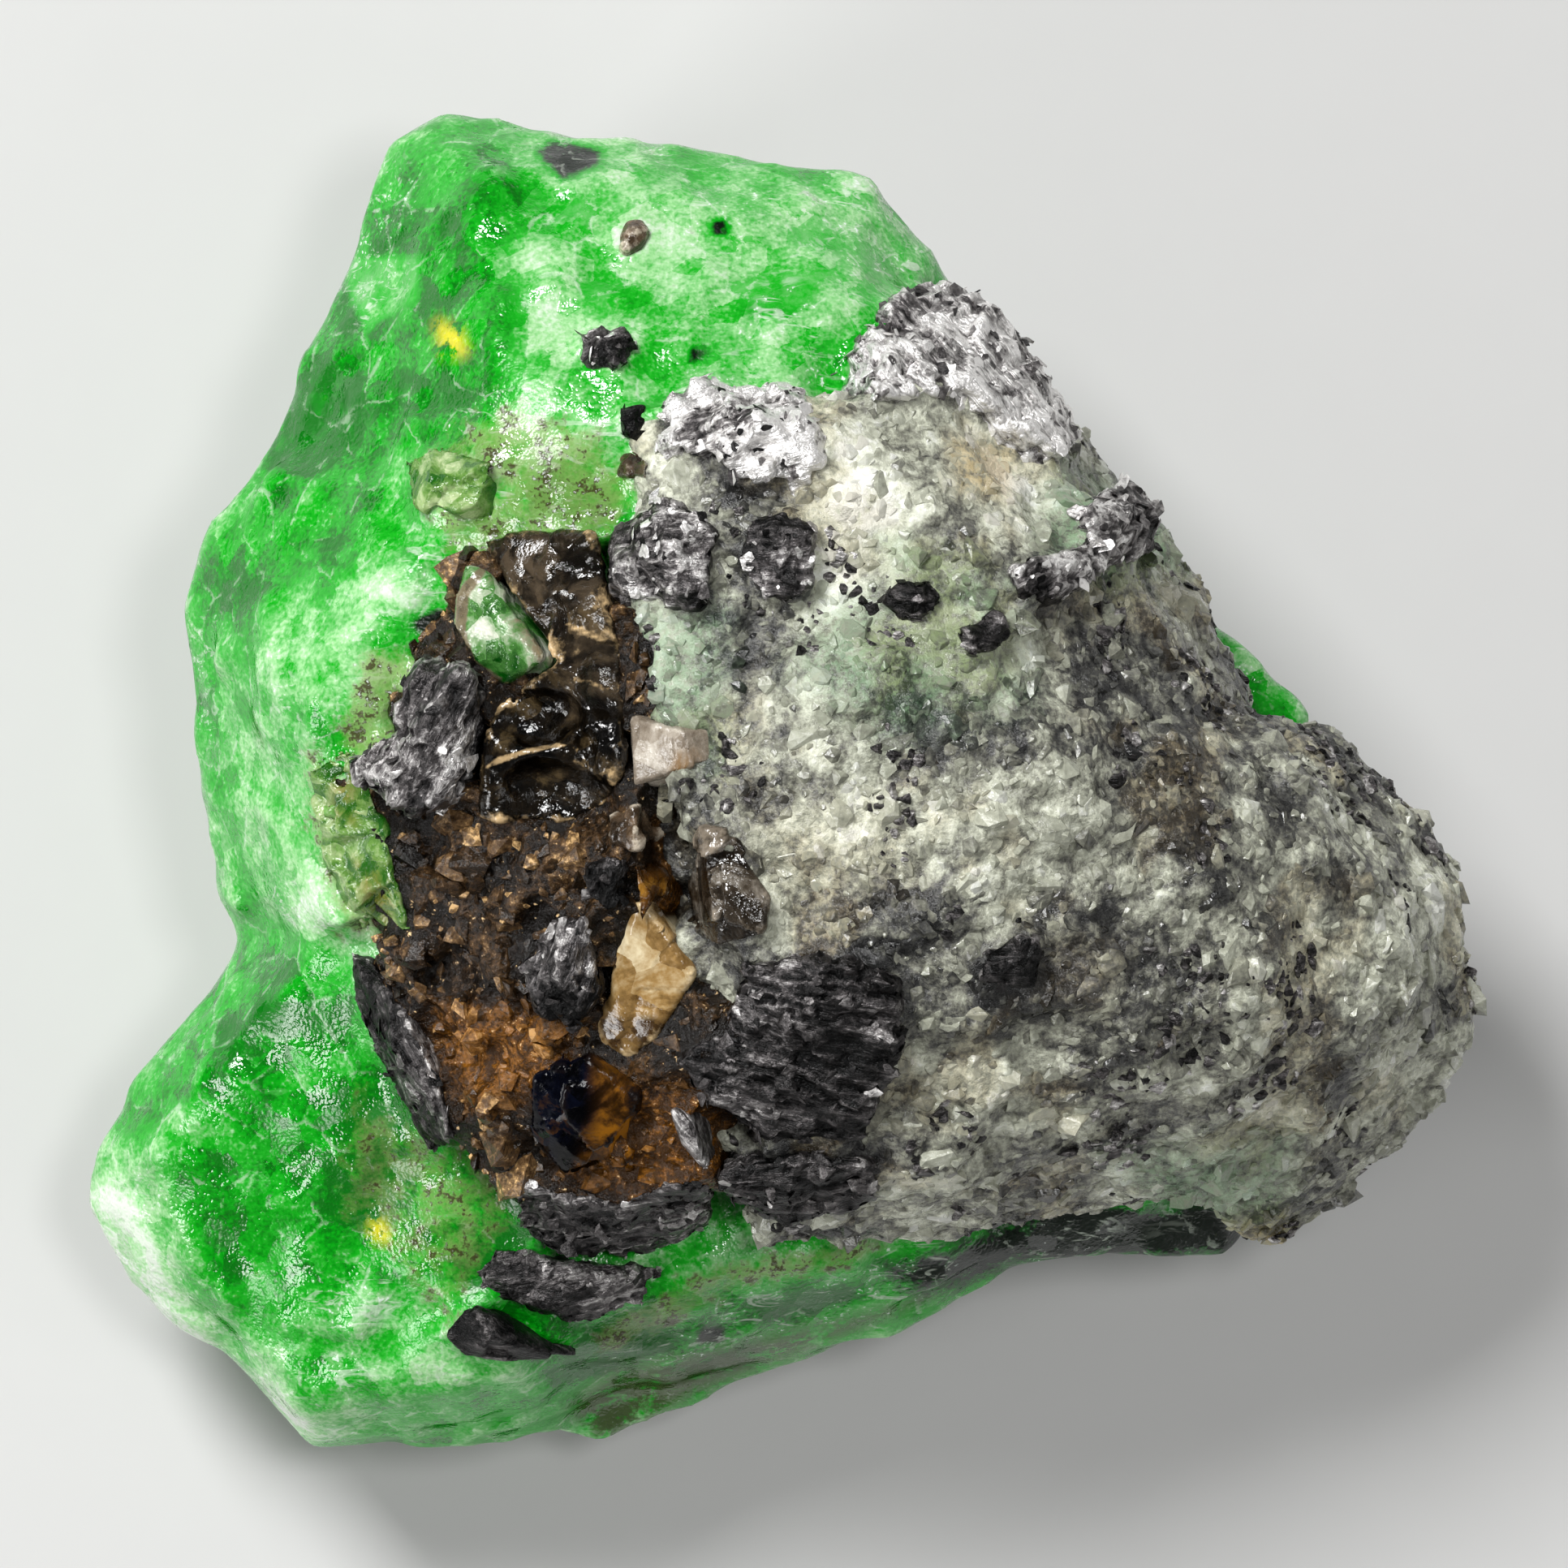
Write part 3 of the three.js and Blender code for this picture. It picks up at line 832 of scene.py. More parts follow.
    def borders(self, place: Value, size: float) -> Socket:
        """The distance to the nearest border between cells `size` across.

        Args:
            place: Where it is read, in millimetres.
            size: Width of a cell.

        Returns:
            The distance, in cells.
        """
        node = self.tree.nodes.new("ShaderNodeTexVoronoi")
        node.feature = "DISTANCE_TO_EDGE"
        self.feed(node.inputs["Vector"], place)
        self.feed(node.inputs["Scale"], 1.0 / size)
        return node.outputs["Distance"]

    def parts(self, vector: Value) -> tuple[Socket, Socket, Socket]:
        """The three numbers of a vector or a colour.

        Args:
            vector: The vector or colour.

        Returns:
            Its three numbers.
        """
        node = self.tree.nodes.new("ShaderNodeSeparateXYZ")
        self.feed(node.inputs[0], vector)
        return node.outputs[0], node.outputs[1], node.outputs[2]

    def stretched(self, place: Value, turn: Triple, scale: Triple) -> Socket:
        """Places turned by angles in degrees and scaled along each axis.

        Args:
            place: The places.
            turn: Angle about each axis.
            scale: Scale along each axis.

        Returns:
            The new places.
        """
        node = self.tree.nodes.new("ShaderNodeMapping")
        self.feed(node.inputs["Vector"], place)
        node.inputs["Rotation"].default_value = tuple(math.radians(angle) for angle in turn)
        node.inputs["Scale"].default_value = scale
        return node.outputs[0]

    def mark(self, name: str) -> Socket:
        """A number that the skin carries.

        Args:
            name: The mark's name.

        Returns:
            Its value at the point being shaded.
        """
        node = self.tree.nodes.new("ShaderNodeAttribute")
        node.attribute_name = name
        return node.outputs["Fac"]

    def mark_vector(self, name: str) -> Socket:
        """A vector that the skin carries.

        Args:
            name: The mark's name.

        Returns:
            Its value at the point being shaded.
        """
        node = self.tree.nodes.new("ShaderNodeAttribute")
        node.attribute_name = name
        return node.outputs["Vector"]

    def ramp(self, value: Value, stops: Sequence[tuple[float, Colour]]) -> Socket:
        """Colours along a scale from 0 to 1.

        Args:
            value: The number looked up.
            stops: Places on the scale and their colours.

        Returns:
            The colour.
        """
        node = self.tree.nodes.new("ShaderNodeValToRGB")
        scale = node.color_ramp
        for _ in range(len(stops) - 2):
            scale.elements.new(0.5)
        for element, (place, colour) in zip(scale.elements, stops):
            element.position = place
            element.color = (*colour, 1.0)
        self.feed(node.inputs[0], value)
        return node.outputs[0]

    def mix(self, share: Value, first: Value, second: Value) -> Socket:
        """Two colours mixed.

        Args:
            share: How much of the second there is.
            first: The first colour.
            second: The second colour.

        Returns:
            The mixed colour.
        """
        node = self.tree.nodes.new("ShaderNodeMix")
        node.data_type = "RGBA"
        self.feed(node.inputs[0], share)
        self.feed(node.inputs[6], first)
        self.feed(node.inputs[7], second)
        return node.outputs[2]

    def bump(self, height: Value, depth: float, normal: Optional[Socket] = None) -> Socket:
        """A normal that follows a height.

        Args:
            height: The height, where 1 is `depth` above 0.
            depth: In millimetres.
            normal: The normal that it starts from.

        Returns:
            The normal.
        """
        node = self.tree.nodes.new("ShaderNodeBump")
        self.feed(node.inputs["Distance"], depth / MM)
        self.feed(node.inputs["Height"], height)
        if normal is not None:
            self.feed(node.inputs["Normal"], normal)
        return node.outputs[0]

    def tilted(self, cell: Socket, amount: float) -> Socket:
        """A normal leaning a different way in each cell, as crystal faces do.

        Args:
            cell: The cell's random vector.
            amount: How far the normals lean.

        Returns:
            The normal.
        """
        lean = self.scaled(self.vector("SUBTRACT", cell, (0.5, 0.5, 0.5)), amount)
        facing = self.tree.nodes.new("ShaderNodeNewGeometry").outputs["Normal"]
        return self.vector("NORMALIZE", self.vector("ADD", facing, lean))

    def finish(
        self, absorption: Optional[tuple[Colour, float]] = None, **sockets: Value
    ) -> bpy.types.Material:
        """Ends the graph in one surface shader.

        Args:
            absorption: The colour that is left in what light crosses it, and how dense it is in 1/m.
            **sockets: The shader's sockets by name, with _ for a space.

        Returns:
            The material.
        """
        shader = self.tree.nodes.new("ShaderNodeBsdfPrincipled")
        for name, value in sockets.items():
            self.feed(shader.inputs[name.replace("_", " ")], value)
        self.tree.links.new(shader.outputs[0], self.output.inputs["Surface"])
        if absorption:
            inside = self.tree.nodes.new("ShaderNodeVolumeAbsorption")
            colour, density = absorption
            inside.inputs["Color"].default_value = (*colour, 1.0)
            inside.inputs["Density"].default_value = density
            self.tree.links.new(inside.outputs[0], self.output.inputs["Volume"])
        return self.material


# ---------------------------------------------------------------- finishes


@dataclass(frozen=True)
class GarnetFinish:
    """Green grossular: clear emerald depths, mint clouds, white feathers and glints.

    The skin carries "depth", from 0, dark and clear, to 1, white, and "veil", where it is cracked.
    """

    night: Colour = (0.0, 0.008, 0.001)
    emerald: Colour = (0.0, 0.17, 0.004)
    leaf: Colour = (0.0, 0.42, 0.006)
    bright: Colour = (0.01, 0.49, 0.015)
    fresh: Colour = (0.14, 0.56, 0.13)
    mint: Colour = (0.4, 0.75, 0.35)
    frost: Colour = (0.8, 0.9, 0.76)
    olive: Colour = (0.3, 0.4, 0.13)
    stain: Colour = (0.05, 0.035, 0.012)
    ledge: Colour = (0.07, 0.12, 0.035)
    # painted highlight: colour of the garnet's two small yellow glints
    yellow_glint: Colour = (0.85, 0.8, 0.01)
    glint: Colour = (0.88, 1.0, 0.92)
    inside: Colour = (0.01, 0.94, 0.04)  # what is left of light that crosses it
    density: float = 650.0
    index: float = 1.74
    small_face: float = 0.55  # millimetres
    broad_face: float = 1.5
    lean: float = 0.22  # how far its small faces lean
    clearest: float = 0.19  # the least depth outside its dark spots

    def material(self) -> bpy.types.Material:
        """The finish as a material.

        Returns:
            The new material.
        """
        g = Graph("garnet")
        broken = g.noise(g.place, 0.5, 4.0, 0.7)
        grain = g.noise(g.place, 0.1, 1.0, 0.6)
        shift = g.scaled((0.5, 0.7, 0.3), g.math("SUBTRACT", broken, 0.5))
        shard = g.cells(g.vector("ADD", g.place, shift), self.small_face)
        face = g.cells(g.vector("ADD", g.place, g.scaled(shift, 0.7)), self.broad_face)
        own, polish, _ = g.parts(shard)
        wide, _, _ = g.parts(face)
        depth = g.plus(
            g.mark("depth"), g.swing(broken, 0.6),
            g.swing(grain, 0.45), g.swing(own, 0.2),
            g.swing(wide, 0.14),
        )
        lit = g.step(g.mark("shade"), 0.0, 0.6, 1.0, 0.0)
        milky = g.step(g.mark("milky"), 0.1, 1.0, self.clearest, 0.52)
        least = g.math("MAXIMUM", g.plus(milky, g.swing(broken, 0.5)), self.clearest)
        depth = g.math("MAXIMUM", depth, g.times(lit, least))
        colour = g.ramp(depth, (
            (0.0, self.night), (0.16, self.emerald), (0.34, self.leaf), (0.47, self.bright),
            (0.6, self.fresh), (0.78, self.mint), (1.0, self.frost),
        ))
        fibres = g.noise(g.stretched(g.place, (0, 0, 40), (0.5, 2.0, 1.0)), 0.6, 3.0, 0.65, 1.4)
        feathers = g.times(g.step(fibres, 0.56, 0.66), g.mark("veil"))
        colour = g.mix(g.times(feathers, 0.6), colour, self.frost)
        border = g.borders(g.vector("ADD", g.place, g.scaled(shift, 0.7)), self.broad_face)
        crack = g.step(border, 0.006, 0.03, 1.0, 0.0)
        crack = g.times(crack, g.step(broken, 0.47, 0.6))
        colour = g.mix(g.times(crack, 0.35), colour, self.frost)
        stained = g.step(g.plus(g.mark("olive"), g.swing(broken, 2.2)), 0.3, 1.0)
        colour = g.mix(g.times(stained, 0.65), colour, self.olive)
        dirt = g.step(g.plus(broken, g.swing(grain, 0.4)), 0.53, 0.64)
        colour = g.mix(g.times(dirt, g.times(stained, 0.9)), colour, self.stain)
        colour = g.mix(g.times(g.mark("ledge"), g.step(broken, 0.36, 0.52)), colour, self.ledge)
        # painted highlight: the two small yellow glints
        colour = g.mix(g.times(g.mark("rust"), g.step(broken, 0.4, 0.5)), colour, self.yellow_glint)
        glints = g.times(g.step(grain, 0.63, 0.69), g.step(g.plus(broken, g.times(own, 0.16)), 0.6, 0.7))
        glints = g.times(glints, g.step(g.mark("veil"), 0.1, 0.7, 0.12, 0.8))
        colour = g.mix(glints, colour, self.glint)
        facing = g.tilted(shard, self.lean)
        return g.finish(
            absorption=(self.inside, self.density),
            Base_Color=colour,
            Roughness=g.step(polish, 0.2, 0.8, 0.1, 0.32),
            IOR=self.index,
            Specular_IOR_Level=0.3,
            Transmission_Weight=g.step(depth, 0.15, 0.75, 0.3, 0.04),
            Normal=g.bump(grain, 0.02, facing),
        )


@dataclass(frozen=True)
class RockFinish:
    """Rock, or the small grains bedded in it: a scale of tones that noise and marks move along."""

    name: str
    tones: tuple[tuple[float, Colour], ...]  # colours along the scale
    shifts: tuple[tuple[str, float], ...]  # how far each mark moves a point along it
    tints: tuple[tuple[str, Colour, float], ...] = ()  # colours that marks lay over it
    broad: float = 0.0  # how strong its wide mottling is
    mottle: float = 0.8  # how strong its fine mottling is
    size: float = 0.16  # width of the fine mottling in millimetres
    clear: float = 0.0
    smooth: float = 0.15
    relief: float = 0.05  # millimetres
    glint: Optional[Colour] = None  # colour of its small bright specks
    faces: float = 0.0  # how far its small faces lean
    gloss: float = 0.5

    def material(self) -> bpy.types.Material:
        """The finish as a material.

        Returns:
            The new material.
        """
        g = Graph(self.name)
        fine = g.noise(g.place, self.size, 4.0, 0.68)
        tone = g.swing(fine, self.mottle)
        if self.broad:
            broad = g.noise(g.place, 1.1, 4.0, 0.62, 0.4)
            tone = g.plus(tone, g.swing(broad, self.broad))
        for mark, amount in self.shifts:
            tone = g.plus(tone, g.times(g.mark(mark), amount))
        colour = g.ramp(tone, self.tones)
        for mark, tint, share in self.tints:
            touched = g.times(g.mark(mark), g.step(g.plus(fine, g.times(tone, 0.3)), 0.5, 0.8, 0.2, 1.0))
            colour = g.mix(g.times(touched, share), colour, tint)
        if self.glint:
            colour = g.mix(g.step(fine, 0.64, 0.69), colour, self.glint)
        facing = g.tilted(g.cells(g.place, self.size * 1.6), self.faces) if self.faces else None
        return g.finish(
            Base_Color=colour,
            Roughness=g.step(fine, 0.35, 0.7, self.smooth, self.smooth + 0.25),
            IOR=1.55,
            Specular_IOR_Level=self.gloss,
            Transmission_Weight=g.step(tone, 0.25, 0.8, 0.0, self.clear) if self.clear else 0.0,
            Normal=g.bump(fine, self.relief, facing),
        )


@dataclass(frozen=True)
class GraphiteFinish:
    """Graphite: soft dark metal-grey flakes, silver where a face catches the light.

    The skin carries "strata", places along its flakes, and "shine", from 0, dull black, to 1, silver.
    """

    black: Colour = (0.004, 0.004, 0.004)
    dark: Colour = (0.03, 0.028, 0.028)
    grey: Colour = (0.12, 0.11, 0.11)
    silver: Colour = (0.48, 0.46, 0.45)
    white: Colour = (0.97, 0.95, 0.93)

    def material(self) -> bpy.types.Material:
        """The finish as a material.

        Returns:
            The new material.
        """
        g = Graph("graphite")
        shine = g.mark("shine")
        lines = g.noise(g.stretched(g.mark_vector("strata"), (0, 0, 0), (0.5, 3.5, 3.5)), 0.6, 4.0, 0.65, 0.4)
        fine = g.noise(g.place, 0.14, 3.0, 0.7)
        tone = g.plus(
            g.swing(lines, 1.7), g.swing(fine, 0.8),
            shine,
        )
        colour = g.ramp(tone, (
            (0.0, self.black), (0.25, self.dark), (0.5, self.grey), (0.75, self.silver), (1.0, self.white),
        ))
        return g.finish(
            Base_Color=colour,
            Metallic=0.7,
            Roughness=g.step(fine, 0.35, 0.65, 0.3, 0.5),
            Normal=g.bump(g.plus(lines, g.times(fine, 0.4)), 0.12),
        )


@dataclass(frozen=True)
class QuartzFinish:
    """A glassy grain: tinted, partly clear, with inner clouds, and a painted highlight along its edges."""

    name: str
    shadow: Colour
    body: Colour
    light: Colour
    clear: float = 0.6  # share of light that goes through
    haze: float = 0.5  # how much of the light colour is in it
    smooth: float = 0.08  # roughness of its faces
    # colour painted along its ridges as a highlight
    edge: Colour = (0.8, 0.7, 0.55)
    stain: Colour = (0.2, 0.11, 0.035)
    size: float = 0.9  # width of its clouds in millimetres
    depth: Colour = (0.8, 0.7, 0.55)
    density: float = 150.0
    contrast: float = 2.4  # between its clouds
    gloss: float = 0.5
    shards: float = 0.35  # how far its small faces lean
    relief: float = 0.08  # millimetres
    bend: float = 0.5  # how crooked the edges of its small faces are

    def material(self) -> bpy.types.Material:
        """The finish as a material.

        Returns:
            The new material.
        """
        g = Graph(self.name)
        cloud = g.noise(g.place, self.size, 5.0, 0.6, 0.8)
        fine = g.noise(g.place, 0.13, 2.0, 0.65)
        shift = g.scaled((0.8, 1.2, 0.6), g.swing(cloud, self.bend))
        shard = g.cells(g.vector("ADD", g.place, shift), self.size * 0.55)
        own, _, _ = g.parts(shard)
        tone = g.plus(
            g.swing(cloud, self.contrast), g.swing(fine, 0.5),
            g.swing(own, self.shards * 1.6), self.haze,
        )
        colour = g.ramp(tone, ((0.0, self.shadow), (0.45, self.body), (1.0, self.light)))
        stained = g.times(g.mark(Zone.RUST_AND_GLINT.value), g.step(cloud, 0.35, 0.55, 0.2, 1.0))
        colour = g.mix(g.times(stained, g.step(tone, 0.0, 0.6, 0.3, 1.0)), colour, self.stain)
        # painted highlight: ridges and gold patches take the edge colour, as edges that catch the light
        edge_highlight = g.plus(g.mark("rim"), g.swing(cloud, 1.6), g.math("SUBTRACT", fine, 0.5))
        colour = g.mix(g.step(edge_highlight, 0.35, 1.1), colour, self.edge)
        return g.finish(
            absorption=(self.depth, self.density),
            Base_Color=colour,
            Roughness=g.step(fine, 0.35, 0.7, self.smooth, self.smooth + 0.2),
            IOR=1.55,
            Specular_IOR_Level=self.gloss,
            Transmission_Weight=g.step(tone, 0.1, 1.0, self.clear, self.clear * 0.4),
            Normal=g.bump(g.plus(cloud, g.times(fine, 0.25)), self.relief, g.tilted(shard, self.shards)),
        )


@dataclass(frozen=True)
class FloorFinish:
    """Pale, even studio card."""

    colour: Colour = (0.66, 0.66, 0.65)

    def material(self) -> bpy.types.Material:
        """The finish as a material.

        Returns:
            The new material.
        """
        g = Graph("floor")
        grain = g.noise(g.place, 1.5, 2.0)
        colour = g.mix(grain, tuple(0.98 * part for part in self.colour), self.colour)
        return g.finish(Base_Color=colour, Roughness=0.8)


# ---------------------------------------------------------------- small set grains


SLOTS = {"pale_smoke": "smoky_quartz"}  # slots of the finishes that aren't named after one


class Habit(Enum):
    """How the surface of a set grain is broken."""

    FOIL = "foil"  # bright crumpled leaf
    COLUMNS = "columns"  # long parallel ridges
    LAMELLAE = "lamellae"  # stacked sheets that end in steps
    LUMPY = "lumpy"  # small lumps and pits
    GLASSY = "glassy"  # smooth shell-like breaks
    CLEAVED = "cleaved"  # flat faces with sharp edges


@dataclass(frozen=True)
class Scoop:
    """A smooth hollow broken out of a grain, or a swelling that fills one."""

    place: tuple[float, float]  # shares of the grain's box
    radii: tuple[float, float, float]
    lift: float  # how far its middle is above the grain's top there
    fills: bool = False

    def cut(self, grain: Distances, skin: Skin) -> None:
        """Takes the hollow out of a grain, or adds the swelling to it.

        Args:
            grain: Distances to the grain, which are changed.
            skin: The grain's skin, which says how high its top is.
        """
        low, high = skin.box()
        x, y = (low + (high - low) * np.array([*self.place, 0.0]))[:2]
        close = np.hypot(skin.points[:, 0] - x, skin.points[:, 1] - y) < 0.2
        top = skin.points[close, 2].max() if close.any() else high[2]
        middle = np.array([x, y, top + self.lift])
        places = np.stack(np.indices(grain.values.shape), axis=-1) + grain.corner
        away = np.linalg.norm((places * grain.voxel - middle) / np.array(self.radii), axis=-1) - 1.0
        away = (away * min(self.radii)).astype(np.float32)
        grain.values = np.minimum(grain.values, away) if self.fills else np.maximum(grain.values, -away)


@dataclass
class SetGrain:
    """One grain set in the specimen's surface, grown from its solid in the frame."""

    node: str
    finish: str
    habit: Habit
    turn: float = 0.0  # way that its strata run, in degrees from +X
    shine: float = 0.4
    voxel: float = 0.09
    relief: float = 1.0  # how strong its breaks are
    spark: float = 0.25  # how unevenly its flakes shine
    swell: float = 0.0  # how much larger it is than its solid, in millimetres
    patches: tuple[Patch, ...] = ()
    scoops: tuple[Scoop, ...] = ()

    def strata(self, points: Array) -> Array:
        """Places along, across and through the strata.

        Args:
            points: Points in millimetres.

        Returns:
            The same points, turned with the strata.
        """
        angle = math.radians(self.turn)
        along = points[:, 0] * math.cos(angle) + points[:, 1] * math.sin(angle)
        across = -points[:, 0] * math.sin(angle) + points[:, 1] * math.cos(angle)
        return np.stack([along, across, points[:, 2]], axis=1)

    def heights(self, points: Array, noise: Field) -> Array:
        """How far each point is raised by the way the grain breaks.

        Args:
            points: Points in millimetres.
            noise: Where the breaks come from.

        Returns:
            One height for each point, in millimetres.
        """
        strata = self.strata(points)
        if self.habit is Habit.COLUMNS:
            drawn = strata * np.array([0.3, 1.0, 1.0])
            return 0.17 * noise.rough(drawn, 0.42, 3) + 0.06 * noise.rough(points, 0.25, 2)
        if self.habit is Habit.LAMELLAE:
            bend = 0.8 * noise.rough(strata * np.array([0.6, 1.0, 1.0]), 1.7, 3)
            steps = (strata[:, 1] + bend) / 0.42
            torn = 0.16 * (np.mod(steps, 1.0) - 0.5) * eased(noise.rough(points + 20.0, 1.1, 2), -0.4, 0.3)
            return torn + noise.facets(points, 0.6, 0.22) + 0.06 * noise.rough(points, 0.35, 3)
        if self.habit is Habit.FOIL:
            return noise.facets(points, 0.5, 0.35) + 0.07 * noise.rough(points, 0.3, 3)
        if self.habit is Habit.CLEAVED:
            return noise.facets(points, 1.3, 0.16)
        if self.habit is Habit.GLASSY:
            return noise.facets(points, 0.9, 0.2) + 0.012 * noise.rough(points, 0.3, 2)
        return 0.13 * noise.rough(points, 0.55, 3) + noise.facets(points, 0.4, 0.3)

    def skin(self, number: int) -> Skin:
        """The grain's shape.

        Args:
            number: Its place in the list, which seeds its breaks.

        Returns:
            Its skin, with what its finish reads.
        """
        skin = Skin.of_node(self.node, self.voxel)
        if self.scoops:
            whole = Distances.of_skin(skin, *skin.room(self.voxel), self.voxel)
            for scoop in self.scoops:
                scoop.cut(whole, skin)
            skin = whole.to_skin()
        skin.relax(1 if self.habit is Habit.CLEAVED else 2)
        noise = Field(700 + 13 * number)
        skin.push(self.relief * self.heights(skin.points, noise) + self.swell)
        if self.habit is not Habit.CLEAVED:
            skin.relax(1, 0.3)
        rim = skin.ridges()
        skin.zone(self.patches)
        # painted highlight: the rim mark, on ridges and on gold patches, lays the finish's edge colour there
        edge = skin.ridges(5, 0.08) + 0.5 * noise.rough(skin.points, 0.9, 2) - 0.15
        skin.marks["rim"] = np.maximum(np.clip(edge, 0.0, 1.0), skin.marks.get(Zone.GOLD.value, 0.0))
        if self.finish == "graphite":
            skin.marks["strata"] = self.strata(skin.points)
            uneven = 0.2 + 0.4 * self.spark
            skin.marks["shine"] = self.shine + 0.2 * rim + uneven * noise.rough(skin.points, 0.9, 4)
        return skin

    def build(self, number: int, material: bpy.types.Material, neighbours: Neighbours) -> Skin:
        """Makes the grain.

        Args:
            number: Its place in the list.
            material: Its finish.
            neighbours: Takes its skin, for the minerals round it.

        Returns:
            Its skin.
        """
        skin = self.skin(number)
        piece = skin.to_object(f"{self.node}_surface", material)
        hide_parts(self.node)
        SLOTS.get(self.finish, self.finish)
        neighbours.skins.append(skin)
        return skin


